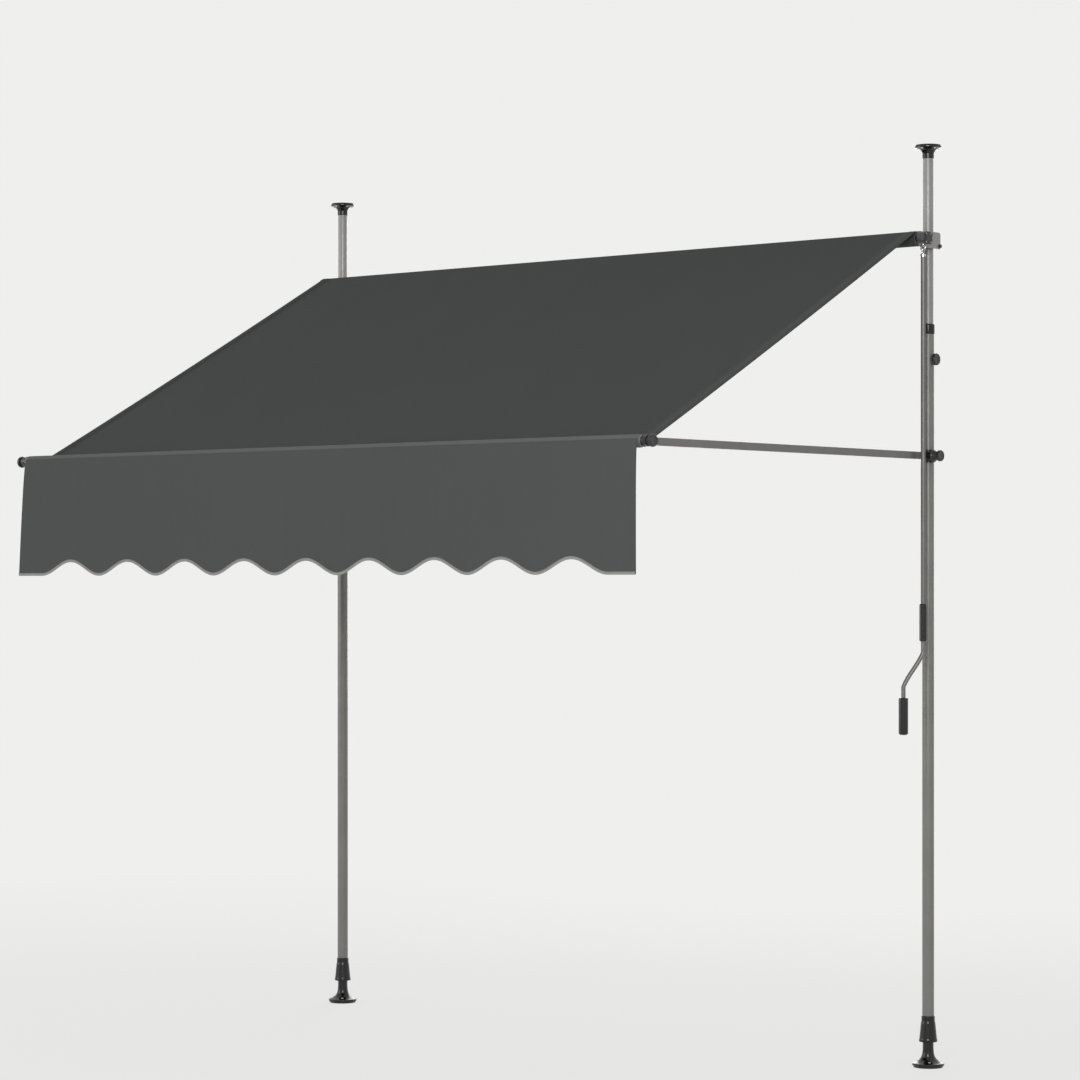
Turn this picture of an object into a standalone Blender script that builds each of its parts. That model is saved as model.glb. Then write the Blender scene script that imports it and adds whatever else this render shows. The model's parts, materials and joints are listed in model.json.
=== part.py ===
# Canvas awning clamped between floor and ceiling.
# Metres, +Z up. X runs along the roller, -Y is the street side.
# Two telescopic posts carry a hand-cranked roller, two swinging arms and a front bar.

import math

import bmesh
import bpy
from mathutils import Matrix, Vector

for old in list(bpy.data.objects):
    bpy.data.objects.remove(old, do_unlink=True)

# Overall layout
POST_SPACING = 2.176
TOTAL_HEIGHT = 2.500
GAP = 0.0003
ROUND = 20
CLAMP_ROUND = 24
MOULDED_ROUND = 16
SMALL_ROUND = 12
EYE_CLEARANCE = 0.0008

# Posts
LOWER_TUBE_R = 0.016
UPPER_TUBE_R = 0.014
TUBE_WALL = 0.0015
TELESCOPE_BELOW_CEILING = 0.490
LOWER_TUBE_TOP = TOTAL_HEIGHT - TELESCOPE_BELOW_CEILING
TUBE_OVERLAP = 0.660
COLLAR_LENGTH = 0.0276
COLLAR_WALL = 0.0015
COLLAR_LIP = 0.0046

# Feet
FOOT_R = 0.04375
FOOT_RIM = 0.0075
FOOT_FLARE = 0.009
FOOT_FLARE_HEIGHT = 0.040
FOOT_PAD_R = 0.040
PAD_THICKNESS = 0.003
NECK_R = 0.0145
NECK_TOP = 0.083
STUD_R = 0.007
STUD_LENGTH = 0.075
SLEEVE_BOTTOM = 0.0687
SLEEVE_HEIGHT = 0.0703
SLEEVE_SKIRT_R = 0.025
SLEEVE_WALL = 0.0022
SOCKET_DEPTH = 0.0267
NUT_WEB = 0.0118

# Ceiling plates
PLATE_R = 0.037
PLATE_RIM = 0.0047
PLATE_CONE = 0.0125
PLATE_FLARE = 0.0045
PLATE_NECK = 0.016
PLATE_NECK_WALL = 0.0017
PLATE_PAD_R = 0.034

# Lock knob of the telescope
LOCK_BELOW_TUBE_TOP = 0.092
LOCK_HEIGHT = LOWER_TUBE_TOP - LOCK_BELOW_TUBE_TOP
LOCK_HEAD_R = 0.0165
LOCK_HEAD = 0.009
LOCK_NECK_R = 0.007
LOCK_NECK = 0.005
LOCK_SCREW_R = 0.003

# Roller
ROLLER_BELOW_CEILING = 0.260
ROLLER_HEIGHT = TOTAL_HEIGHT - ROLLER_BELOW_CEILING
ROLLER_FORWARD = 0.0655
ROLLER_TUBE_R = 0.019
FABRIC_ROLL_R = 0.021
FABRIC_OVERHANG = 0.0140
ROLLER_TUBE_OVERHANG = 0.0147
PLUG_DISC = 0.003
PLUG_DEPTH = 0.040
SPIGOT_R = 0.0065
IDLER_SPIGOT_END = 0.026

# Roller brackets: a steel side plate bolted to a moulded block round the post
SIDE_PLATE_INNER = 0.0190
SIDE_PLATE_THICKNESS = 0.003
SIDE_PLATE_FRONT_R = 0.0200
SIDE_PLATE_BACK = 0.0270
SIDE_PLATE_HALF_HEIGHT = 0.0225
BLOCK_R = 0.0190
BLOCK_EAR = 0.0270
BLOCK_EAR_THICKNESS = 0.0065
BLOCK_HALF_HEIGHT = 0.0205
BOLT_OFFSET_Y = 0.0225
BOLT_OFFSET_Z = 0.0140
BOLT_R = 0.003
BOLT_HEAD_R = 0.0052
BOLT_HEAD = 0.004

# Crank gear
WORM_SIDE = 0.0360
MODULE = 0.0012
WHEEL_TEETH = 14
WORM_STARTS = 2
WORM_PITCH_R = 0.0056
WHEEL_WIDTH = 0.008
WORM_HALF_LENGTH = 0.0105
WORM_END = 0.0012
TOOTH_CLEARANCE = 0.0004
WHEEL_FLANK = (0.25, 0.375)
WORM_FLANK = (0.29, 0.42)
GEAR_SHAFT_R = 0.004
HOUSING_HALF_HEIGHT = 0.0165
HOUSING_BACK = 0.0130
HOUSING_FRONT = 0.0240
HOUSING_CORNER = 0.009
HOUSING_WALL = 0.002
HOUSING_OUTER = 0.0450
COVER_THICKNESS = 0.0022
JOURNAL_R = 0.005
EYE_R = 0.0068
EYE_WIRE_R = 0.0025

# Crank
HOOK_WIRE_R = 0.0025
HOOK_DROP = 0.0085
HOOK_COLLAR_R = 0.0078
HOOK_COLLAR = 0.009
CRANK_ROD_R = 0.0065
CRANK_BEND_R = 0.006
CRANK_THROW = 0.053
CRANK_THROW_ANGLE = 219.5
GRIP_BELOW_ROLLER = 0.984
UPPER_GRIP_TOP = ROLLER_HEIGHT - GRIP_BELOW_ROLLER
UPPER_GRIP_LENGTH = 0.100
UPPER_GRIP_R = 0.0104
ROD_PAST_GRIP = 0.004
BEND_BELOW_GRIP = 0.030
BEND_DROP = 0.093
BEND_TOP = UPPER_GRIP_TOP - UPPER_GRIP_LENGTH - BEND_BELOW_GRIP
BEND_BOTTOM = BEND_TOP - BEND_DROP
GRIP_BELOW_BEND = 0.029
LOWER_GRIP_TOP = BEND_BOTTOM - GRIP_BELOW_BEND
LOWER_GRIP_LENGTH = 0.100
LOWER_GRIP_R = 0.0130

# Arms and their pivots on the posts
ARM_PIVOT_BELOW_TUBE_TOP = 0.354
ARM_PIVOT_HEIGHT = LOWER_TUBE_TOP - ARM_PIVOT_BELOW_TUBE_TOP
ARM_PIVOT_FORWARD = 0.016
ARM_LENGTH = 1.262
ARM_WIDTH = 0.012
ARM_HEIGHT = 0.020
ARM_INNER = 0.008
ARM_CORNER = 0.0025
ARM_WALL = 0.0015
ARM_BACK_SETBACK = 0.029
ARM_FRONT_SETBACK = 0.043
ARM_PLUG = 0.040
CLAMP_R = 0.0205
CLAMP_HALF_HEIGHT = 0.017
PIVOT_BOSS_R = 0.0120
PIVOT_BOLT_R = 0.0043
PIVOT_PLATE = 0.0035
PIVOT_EYE_R = 0.0150
PIVOT_KNOB_FLANGE_R = 0.0170
PIVOT_KNOB_HEAD_R = 0.0155
PIVOT_KNOB_LENGTH = 0.0290

# Front bar
BAR_R = 0.015
BAR_OVERHANG = 0.0216
CAP_DISC = 0.0036
CAP_BOSS_R = 0.008
CAP_BOSS = 0.012
BAR_EYE_R = 0.0145
BAR_KNOB_HEAD_R = 0.016
BAR_KNOB_LENGTH = 0.0160
BAR_KNOB_SCREW_R = 0.003

# Cloth
CLOTH = 0.0012
CANOPY_SAG = 0.012
CANOPY_EDGE_SAG = 0.35
CANOPY_DRAW_IN = 0.007
VALANCE_HEM = 0.006
VALANCE_DROP = 0.3235
NOTCHES = 9
NOTCH_PITCH = 0.2255
NOTCH_DEPTH = 0.038
STEPS_PER_NOTCH = 6
BINDING_HEIGHT = 0.0075
BINDING_THICKNESS = 0.0024

HALF = POST_SPACING / 2
BAR_FORWARD = ARM_PIVOT_FORWARD + ARM_LENGTH
BAR_HEIGHT = ARM_PIVOT_HEIGHT
ROLLER_AXIS = Vector((0, -ROLLER_FORWARD, ROLLER_HEIGHT))
SLEEVE_R = BAR_R + GAP + CLOTH


# Materials

def linear(hex_code):
    values = [int(hex_code[i:i + 2], 16) / 255 for i in (1, 3, 5)]
    return [v / 12.92 if v <= 0.04045 else ((v + 0.055) / 1.055) ** 2.4 for v in values]


def material(name, hex_code, roughness, metallic=0.0):
    mat = bpy.data.materials.new(name)
    mat.use_nodes = True
    shader = mat.node_tree.nodes["Principled BSDF"]
    shader.inputs["Base Color"].default_value = (*linear(hex_code), 1)
    shader.inputs["Roughness"].default_value = roughness
    shader.inputs["Metallic"].default_value = metallic
    return mat


STEEL = material("powder_coated_steel", "#8a8986", 0.38, 0.3)
BLACK = material("black_nylon", "#1e1f1f", 0.4)
GREY = material("grey_nylon", "#55585a", 0.5)
RUBBER = material("foot_rubber", "#151515", 0.85)
CHROME = material("zinc_plated_steel", "#c9c9c6", 0.18, 1.0)
BRASS = material("gear_bronze", "#a5834f", 0.35, 1.0)
CANVAS = material("awning_canvas", "#464847", 0.9)
BINDING = material("valance_binding_tape", "#9a9a96", 0.85)


# Building blocks

frame_empty = bpy.data.objects.new("awning_frame", None)
bpy.context.collection.objects.link(frame_empty)


def add_piece(name, bm, mat, smooth_angle=35):
    """Turn a bmesh into a named object with outward faces and rounded shading."""
    bmesh.ops.recalc_face_normals(bm, faces=bm.faces)
    mesh = bpy.data.meshes.new(name)
    bm.to_mesh(mesh)
    bm.free()
    mesh.materials.append(mat)
    mesh.shade_smooth()
    mesh.set_sharp_from_angle(angle=math.radians(smooth_angle))
    piece = bpy.data.objects.new(name, mesh)
    bpy.context.collection.objects.link(piece)
    piece.parent = frame_empty
    return piece


def turned(profile, matrix=Matrix(), segments=MOULDED_ROUND):
    """Revolve a closed (radius, height) loop round Z; a radius of 0 closes on the axis."""
    bm = bmesh.new()
    rings = []
    for radius, height in profile:
        if radius <= 0:
            rings.append([bm.verts.new(matrix @ Vector((0, 0, height)))])
            continue
        ring = []
        for i in range(segments):
            a = 2 * math.pi * i / segments
            spot = Vector((radius * math.cos(a), radius * math.sin(a), height))
            ring.append(bm.verts.new(matrix @ spot))
        rings.append(ring)
    for low, high in zip(rings, rings[1:] + rings[:1]):
        if len(low) == 1 and len(high) == 1:
            continue
        for i in range(segments):
            j = (i + 1) % segments
            if len(low) == 1:
                bm.faces.new((low[0], high[i], high[j]))
            elif len(high) == 1:
                bm.faces.new((low[i], low[j], high[0]))
            else:
                bm.faces.new((low[i], low[j], high[j], high[i]))
    return bm


def along_x(side, x, y, z):
    """Matrix that lays a turned piece along X, its height pointing outwards."""
    turn = Matrix.Rotation(math.radians(90), 4, "Y")
    if side < 0:
        turn = Matrix.Rotation(math.radians(-90), 4, "Y")
    return Matrix.Translation((x, y, z)) @ turn


def extruded(outline, place, start, end):
    """Extrude a closed 2-D outline; place(u, v, w) gives each corner in space."""
    bm = bmesh.new()
    low = [bm.verts.new(place(u, v, start)) for u, v in outline]
    high = [bm.verts.new(place(u, v, end)) for u, v in outline]
    bm.faces.new(low)
    bm.faces.new(high[::-1])
    for i in range(len(outline)):
        j = (i + 1) % len(outline)
        bm.faces.new((low[i], high[i], high[j], low[j]))
    return bm


def arc(cx, cy, radius, start, end, steps):
    """Points of an arc, angles in degrees, both ends included."""
    points = []
    for i in range(steps + 1):
        a = math.radians(start + (end - start) * i / steps)
        points.append((cx + radius * math.cos(a), cy + radius * math.sin(a)))
    return points


def rounded_box(u0, u1, v0, v1, radius, steps=4):
    """Outline of a rectangle with round corners."""
    return (arc(u1 - radius, v0 + radius, radius, -90, 0, steps)
            + arc(u1 - radius, v1 - radius, radius, 0, 90, steps)
            + arc(u0 + radius, v1 - radius, radius, 90, 180, steps)
            + arc(u0 + radius, v0 + radius, radius, 180, 270, steps))


def swept(path, radius, segments=SMALL_ROUND, closed=False):
    """Sweep a circle along points; the frame is carried along without twist."""
    bm = bmesh.new()
    points = [Vector(p) for p in path]
    count = len(points)
    rings = []
    up = None
    for i, point in enumerate(points):
        if closed:
            ahead = points[(i + 1) % count] - points[i - 1]
        else:
            ahead = points[min(i + 1, count - 1)] - points[max(i - 1, 0)]
        ahead.normalize()
        if up is None:
            up = ahead.orthogonal().normalized()
        up = (up - ahead * up.dot(ahead)).normalized()
        side = ahead.cross(up)
        ring = []
        for k in range(segments):
            a = 2 * math.pi * k / segments
            ring.append(bm.verts.new(point + (up * math.cos(a) + side * math.sin(a)) * radius))
        rings.append(ring)
    pairs = list(zip(rings, rings[1:]))
    if closed:
        pairs.append((rings[-1], rings[0]))
    for low, high in pairs:
        for k in range(segments):
            j = (k + 1) % segments
            bm.faces.new((low[k], low[j], high[j], high[k]))
    if not closed:
        bm.faces.new(rings[0])
        bm.faces.new(rings[-1][::-1])
    return bm


def cutter(name, bm):
    """A hidden guide object used by a Boolean."""
    piece = add_piece(name, bm, BLACK)
    piece.hide_render = True
    piece.display_type = "WIRE"
    return piece


def boolean(piece, tool, operation):
    modifier = piece.modifiers.new(operation.lower(), "BOOLEAN")
    modifier.operation = operation
    modifier.object = tool
    modifier.solver = "EXACT"


def tube_profile(outer, wall, bottom, top):
    return [(outer, bottom), (outer, top), (outer - wall, top), (outer - wall, bottom)]


def side_name(side):
    return "right" if side > 0 else "left"


def flare(neck_r, rim_r, rim_height, fall, length, steps):
    """Trumpet profile from the rim to the neck; fall is the height in which it narrows by a factor e."""
    points = []
    for i in range(1, steps + 1):
        run = length * (i / steps) ** 1.6
        points.append((neck_r + (rim_r - neck_r) * math.exp(-run / abs(fall)), rim_height + math.copysign(run, fall)))
    return points


# Posts

def make_foot(side):
    post = Matrix.Translation((side * HALF, 0, 0))
    label = side_name(side)
    base = PAD_THICKNESS + GAP
    pad = [(0, 0), (FOOT_PAD_R, 0), (FOOT_PAD_R, PAD_THICKNESS), (0, PAD_THICKNESS)]
    add_piece(f"foot_pad_{label}", turned(pad, post), RUBBER)
    disc = [(0, base), (FOOT_R - 0.003, base), (FOOT_R, base + 0.003), (FOOT_R, base + FOOT_RIM)]
    disc += flare(NECK_R, FOOT_R, base + FOOT_RIM, FOOT_FLARE, FOOT_FLARE_HEIGHT, 6)
    disc += [(NECK_R, NECK_TOP), (STUD_R, NECK_TOP), (STUD_R, NECK_TOP + STUD_LENGTH),
             (0, NECK_TOP + STUD_LENGTH)]
    add_piece(f"foot_disc_{label}", turned(disc, post), BLACK)

    top = SLEEVE_BOTTOM + SLEEVE_HEIGHT
    floor = top - SOCKET_DEPTH
    web = floor - NUT_WEB
    socket_r = LOWER_TUBE_R + GAP
    collar_r = socket_r + SLEEVE_WALL - GAP
    sleeve = [(SLEEVE_SKIRT_R - 0.001, SLEEVE_BOTTOM), (SLEEVE_SKIRT_R, SLEEVE_BOTTOM + 0.001),
              (SLEEVE_SKIRT_R, SLEEVE_BOTTOM + 0.006), (SLEEVE_SKIRT_R - 0.0012, SLEEVE_BOTTOM + 0.009),
              (collar_r + 0.0015, top - 0.020), (collar_r, top - 0.013), (collar_r, top - 0.001),
              (collar_r - 0.001, top), (socket_r, top), (socket_r, floor), (STUD_R + GAP, floor),
              (STUD_R + GAP, web), (NECK_R + 2 * GAP, web), (NECK_R + 2 * GAP, SLEEVE_BOTTOM)]
    add_piece(f"foot_sleeve_{label}", turned(sleeve, post, ROUND), BLACK)
    return floor + GAP


def make_post(side, tube_bottom):
    post = Matrix.Translation((side * HALF, 0, 0))
    label = side_name(side)
    tube = tube_profile(LOWER_TUBE_R, TUBE_WALL, tube_bottom, LOWER_TUBE_TOP)
    lower = add_piece(f"lower_pole_{label}", turned(tube, post, ROUND), STEEL)
    hole = turned([(0, LOWER_TUBE_R / 2), (LOCK_SCREW_R + GAP, LOWER_TUBE_R / 2),
                   (LOCK_SCREW_R + GAP, LOWER_TUBE_R * 2), (0, LOWER_TUBE_R * 2)],
                  along_x(side, side * HALF, 0, LOCK_HEIGHT), SMALL_ROUND)
    boolean(lower, cutter(f"lock_hole_{label}", hole), "DIFFERENCE")

    plate_top = TOTAL_HEIGHT - PAD_THICKNESS - GAP
    cone_top = plate_top - PLATE_RIM
    neck_top = cone_top - PLATE_CONE
    tube_top = neck_top + 0.008
    upper = tube_profile(UPPER_TUBE_R, TUBE_WALL, LOWER_TUBE_TOP - TUBE_OVERLAP, tube_top)
    add_piece(f"upper_pole_{label}", turned(upper, post, ROUND), STEEL)

    collar_r = LOWER_TUBE_R + GAP + COLLAR_WALL
    collar_top = LOWER_TUBE_TOP + GAP + COLLAR_LIP
    bottom = collar_top - COLLAR_LENGTH
    collar = [(collar_r, bottom), (collar_r, collar_top - 0.003), (collar_r - 0.0012, collar_top - 0.0008),
              (collar_r - 0.0025, collar_top), (UPPER_TUBE_R + GAP, collar_top),
              (UPPER_TUBE_R + GAP, LOWER_TUBE_TOP + GAP), (LOWER_TUBE_R + GAP, LOWER_TUBE_TOP + GAP),
              (LOWER_TUBE_R + GAP, bottom)]
    add_piece(f"telescope_collar_{label}", turned(collar, post, ROUND), BLACK)

    neck_r = UPPER_TUBE_R + GAP + PLATE_NECK_WALL
    neck_bottom = neck_top - PLATE_NECK
    plate = [(0, plate_top), (PLATE_R - 0.001, plate_top), (PLATE_R, plate_top - 0.001), (PLATE_R, cone_top)]
    plate += flare(neck_r, PLATE_R, cone_top, -PLATE_FLARE, PLATE_CONE, 4)
    plate += [(neck_r, neck_top - 0.002), (neck_r, neck_bottom + 0.001), (neck_r - 0.001, neck_bottom),
              (UPPER_TUBE_R + GAP, neck_bottom), (UPPER_TUBE_R + GAP, tube_top + GAP), (0, tube_top + GAP)]
    add_piece(f"ceiling_plate_{label}", turned(plate, post, ROUND), BLACK)
    pad = [(0, plate_top + GAP), (PLATE_PAD_R, plate_top + GAP), (PLATE_PAD_R, TOTAL_HEIGHT),
           (0, TOTAL_HEIGHT)]
    add_piece(f"ceiling_pad_{label}", turned(pad, post), RUBBER)

    neck = LOWER_TUBE_R + GAP
    head = neck + LOCK_NECK
    face = head + LOCK_HEAD
    knob = [(0, UPPER_TUBE_R + GAP), (LOCK_SCREW_R, UPPER_TUBE_R + GAP), (LOCK_SCREW_R, neck),
            (LOCK_NECK_R, neck), (LOCK_NECK_R, head), (LOCK_HEAD_R - 0.001, head),
            (LOCK_HEAD_R, head + 0.0015),
            (LOCK_HEAD_R, face - 0.002), (LOCK_HEAD_R - 0.002, face), (LOCK_HEAD_R - 0.006, face),
            (LOCK_HEAD_R - 0.008, face - 0.0012), (0, face - 0.0012)]
    add_piece(f"lock_knob_{label}", turned(knob, along_x(side, side * HALF, 0, LOCK_HEIGHT)), BLACK)


# Roller, its brackets and the cloth wound on it

def block_outline():
    flat = SIDE_PLATE_INNER - GAP
    ear = flat - BLOCK_EAR_THICKNESS
    round_side = arc(0, 0, BLOCK_R, 62, 298, 14)
    return [(flat, BLOCK_EAR), (ear, BLOCK_EAR)] + round_side + [(ear, -BLOCK_EAR), (flat, -BLOCK_EAR)]


def bolt_places():
    """One bolt in front of the post near the top, one behind it near the bottom."""
    return [("front", -BOLT_OFFSET_Y, BOLT_OFFSET_Z), ("back", BOLT_OFFSET_Y, -BOLT_OFFSET_Z)]


def make_bracket(side):
    label = side_name(side)

    def across(u, v, w):
        return Vector((side * (HALF + u), v, ROLLER_HEIGHT + w))

    def sideways(u, v, w):
        return Vector((side * (HALF + w), u, v))

    outer = SIDE_PLATE_INNER + SIDE_PLATE_THICKNESS
    top = ROLLER_HEIGHT + SIDE_PLATE_HALF_HEIGHT
    bottom = ROLLER_HEIGHT - SIDE_PLATE_HALF_HEIGHT
    outline = (arc(SIDE_PLATE_BACK - 0.008, top - 0.008, 0.008, 0, 90, 5)
               + [(-0.030, top)]
               + arc(-ROLLER_FORWARD, ROLLER_HEIGHT, SIDE_PLATE_FRONT_R, 90, 270, 14)
               + [(-0.030, bottom)]
               + arc(SIDE_PLATE_BACK - 0.004, bottom + 0.004, 0.004, -90, 0, 3))
    plate = add_piece(f"roller_bracket_{label}", extruded(outline, sideways, SIDE_PLATE_INNER, outer), STEEL)
    spigot_hole = turned([(0, 0), (SPIGOT_R + GAP, 0), (SPIGOT_R + GAP, 0.02), (0, 0.02)],
                         along_x(side, side * (HALF + SIDE_PLATE_INNER - 0.01), *ROLLER_AXIS.yz))
    boolean(plate, cutter(f"spigot_hole_{label}", spigot_hole), "DIFFERENCE")

    block_bm = extruded(block_outline(), across, -BLOCK_HALF_HEIGHT, BLOCK_HALF_HEIGHT)
    block = add_piece(f"bracket_block_{label}", block_bm, BLACK)
    post_bore = turned([(0, -0.03), (UPPER_TUBE_R + GAP, -0.03), (UPPER_TUBE_R + GAP, 0.03), (0, 0.03)],
                       Matrix.Translation((side * HALF, 0, ROLLER_HEIGHT)), ROUND)
    boolean(block, cutter(f"post_bore_{label}", post_bore), "DIFFERENCE")

    tip = SIDE_PLATE_INNER - GAP - BLOCK_EAR_THICKNESS - 0.003
    for place, y, z in bolt_places():
        at = along_x(side, side * HALF, y, ROLLER_HEIGHT + z)
        hole = turned([(0, 0.005), (BOLT_R + GAP, 0.005), (BOLT_R + GAP, 0.03), (0, 0.03)], at, SMALL_ROUND)
        hole_tool = cutter(f"bolt_hole_{place}_{label}", hole)
        boolean(plate, hole_tool, "DIFFERENCE")
        boolean(block, hole_tool, "DIFFERENCE")
        bolt = turned([(0, tip), (BOLT_R, tip), (BOLT_R, outer + GAP), (BOLT_HEAD_R, outer + GAP),
                       (BOLT_HEAD_R, outer + GAP + BOLT_HEAD), (0, outer + GAP + BOLT_HEAD)], at, SMALL_ROUND)
        add_piece(f"bracket_bolt_{place}_{label}", bolt, BLACK)


def plug_profile(spigot):
    body_r = ROLLER_TUBE_R - TUBE_WALL - GAP
    face = ROLLER_TUBE_OVERHANG + GAP
    start = face - PLUG_DEPTH
    return [(0, start), (body_r - 0.001, start), (body_r, start + 0.001), (body_r, face),
            (FABRIC_ROLL_R, face), (FABRIC_ROLL_R, face + PLUG_DISC)] + spigot


def make_roller():
    axis = Matrix.Translation(ROLLER_AXIS) @ Matrix.Rotation(math.radians(90), 4, "Y")
    half = HALF + ROLLER_TUBE_OVERHANG
    add_piece("roller_tube", turned(tube_profile(ROLLER_TUBE_R, TUBE_WALL, -half, half), axis, ROUND), STEEL)
    half = HALF + FABRIC_OVERHANG
    wall = FABRIC_ROLL_R - ROLLER_TUBE_R - GAP
    add_piece("fabric_roll", turned(tube_profile(FABRIC_ROLL_R, wall, -half, half), axis, ROUND), CANVAS)

    disc_end = ROLLER_TUBE_OVERHANG + GAP + PLUG_DISC
    idler = [(SPIGOT_R, disc_end), (SPIGOT_R, IDLER_SPIGOT_END), (0, IDLER_SPIGOT_END)]
    add_piece("idler_plug", turned(plug_profile(idler), along_x(-1, -HALF, *ROLLER_AXIS.yz), ROUND), BLACK)
    shoulder = SIDE_PLATE_INNER + SIDE_PLATE_THICKNESS + GAP + HOUSING_WALL
    shaft_end = HOUSING_OUTER - GAP
    drive = [(SPIGOT_R, disc_end), (SPIGOT_R, shoulder), (GEAR_SHAFT_R, shoulder), (GEAR_SHAFT_R, shaft_end),
             (0, shaft_end)]
    add_piece("drive_plug", turned(plug_profile(drive), along_x(1, HALF, *ROLLER_AXIS.yz), ROUND), BLACK)


# Crank gear

WHEEL_PITCH_R = MODULE * WHEEL_TEETH / 2
WORM_FORWARD = ROLLER_FORWARD + WHEEL_PITCH_R + WORM_PITCH_R
WORM_LEAD = math.pi * MODULE * WORM_STARTS
WORM_X = HALF + WORM_SIDE


def tooth_height(phase, flank):
    """Height from root to tip over one pitch: a flat tip, two sloping flanks, a flat root."""
    distance = abs(phase - math.floor(phase) - 0.5)
    return max(0.0, min(1.0, (0.5 - distance - flank[0]) / (flank[1] - flank[0])))


def make_worm_wheel():
    tip = WHEEL_PITCH_R + MODULE
    root = WHEEL_PITCH_R - MODULE - TOOTH_CLEARANCE
    slope = WORM_LEAD / (2 * math.pi * WORM_PITCH_R)
    per_tooth = 8
    layers = 3
    bm = bmesh.new()
    rings = []
    for layer in range(layers):
        w = (layer / (layers - 1) - 0.5) * WHEEL_WIDTH
        twist = w * slope / WHEEL_PITCH_R
        ring = []
        for i in range(WHEEL_TEETH * per_tooth):
            a = 2 * math.pi * i / (WHEEL_TEETH * per_tooth)
            radius = root + (tip - root) * tooth_height(i / per_tooth, WHEEL_FLANK)
            ring.append(bm.verts.new((WORM_X + w, -ROLLER_FORWARD + radius * math.cos(a + twist),
                                      ROLLER_HEIGHT + radius * math.sin(a + twist))))
        rings.append(ring)
    bore = []
    for w in (-WHEEL_WIDTH / 2, WHEEL_WIDTH / 2):
        ring = []
        for i in range(WHEEL_TEETH * per_tooth):
            a = 2 * math.pi * i / (WHEEL_TEETH * per_tooth)
            twist = w * slope / WHEEL_PITCH_R
            ring.append(bm.verts.new((WORM_X + w,
                                      -ROLLER_FORWARD + (GEAR_SHAFT_R + GAP) * math.cos(a + twist),
                                      ROLLER_HEIGHT + (GEAR_SHAFT_R + GAP) * math.sin(a + twist))))
        bore.append(ring)
    loop = rings + [bore[1], bore[0]]
    for low, high in zip(loop, loop[1:] + loop[:1]):
        for i in range(len(low)):
            j = (i + 1) % len(low)
            bm.faces.new((low[i], low[j], high[j], high[i]))
    add_piece("worm_wheel", bm, BRASS)


def make_worm_shaft():
    """Worm thread, journal and the eye that the crank hooks into, one turned and bent piece."""
    tip = WORM_PITCH_R + MODULE
    root = WORM_PITCH_R - MODULE - TOOTH_CLEARANCE
    segments = 16
    layers = 19
    low = ROLLER_HEIGHT - WORM_HALF_LENGTH
    shaft_top = ROLLER_HEIGHT + WORM_HALF_LENGTH + WORM_END
    stem_bottom = EYE_CENTRE + EYE_R
    levels = [(stem_bottom, EYE_WIRE_R), (EYE_TOP + GAP, EYE_WIRE_R), (EYE_TOP + 0.0012, JOURNAL_R),
              (low - 0.0015, JOURNAL_R), (low - 0.0005, root)]
    levels += [(low + 2 * WORM_HALF_LENGTH * layer / (layers - 1), None) for layer in range(layers)]
    levels += [(shaft_top, root)]
    bm = bmesh.new()
    rings = []
    for z, plain_radius in levels:
        along = z - ROLLER_HEIGHT
        fade = min(1.0, max(0.0, WORM_HALF_LENGTH - abs(along)) / 0.0015)
        ring = []
        for i in range(segments):
            a = 2 * math.pi * i / segments
            phase = WORM_STARTS * (along / WORM_LEAD - a / (2 * math.pi))
            radius = plain_radius or root + (tip - root) * fade * tooth_height(phase, WORM_FLANK)
            spot = (WORM_X + radius * math.cos(a), -WORM_FORWARD + radius * math.sin(a), z)
            ring.append(bm.verts.new(spot))
        rings.append(ring)
    for under, over in zip(rings, rings[1:]):
        for i in range(segments):
            j = (i + 1) % segments
            bm.faces.new((under[i], under[j], over[j], over[i]))
    bm.faces.new(rings[0])
    bm.faces.new(rings[-1][::-1])
    bmesh.ops.triangulate(bm, faces=bm.faces)
    worm = add_piece("worm_shaft", bm, CHROME)
    ring = [(WORM_X + u, -WORM_FORWARD, EYE_CENTRE + v) for u, v in arc(0, 0, EYE_R, 12, 348, 14)]
    boolean(worm, cutter("worm_eye", swept(ring, EYE_WIRE_R, SMALL_ROUND, closed=True)), "UNION")


EYE_TOP = ROLLER_HEIGHT - HOUSING_HALF_HEIGHT - EYE_CLEARANCE
EYE_CENTRE = EYE_TOP - EYE_R - EYE_WIRE_R
HOOK_PIVOT = EYE_CENTRE - EYE_R


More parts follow.
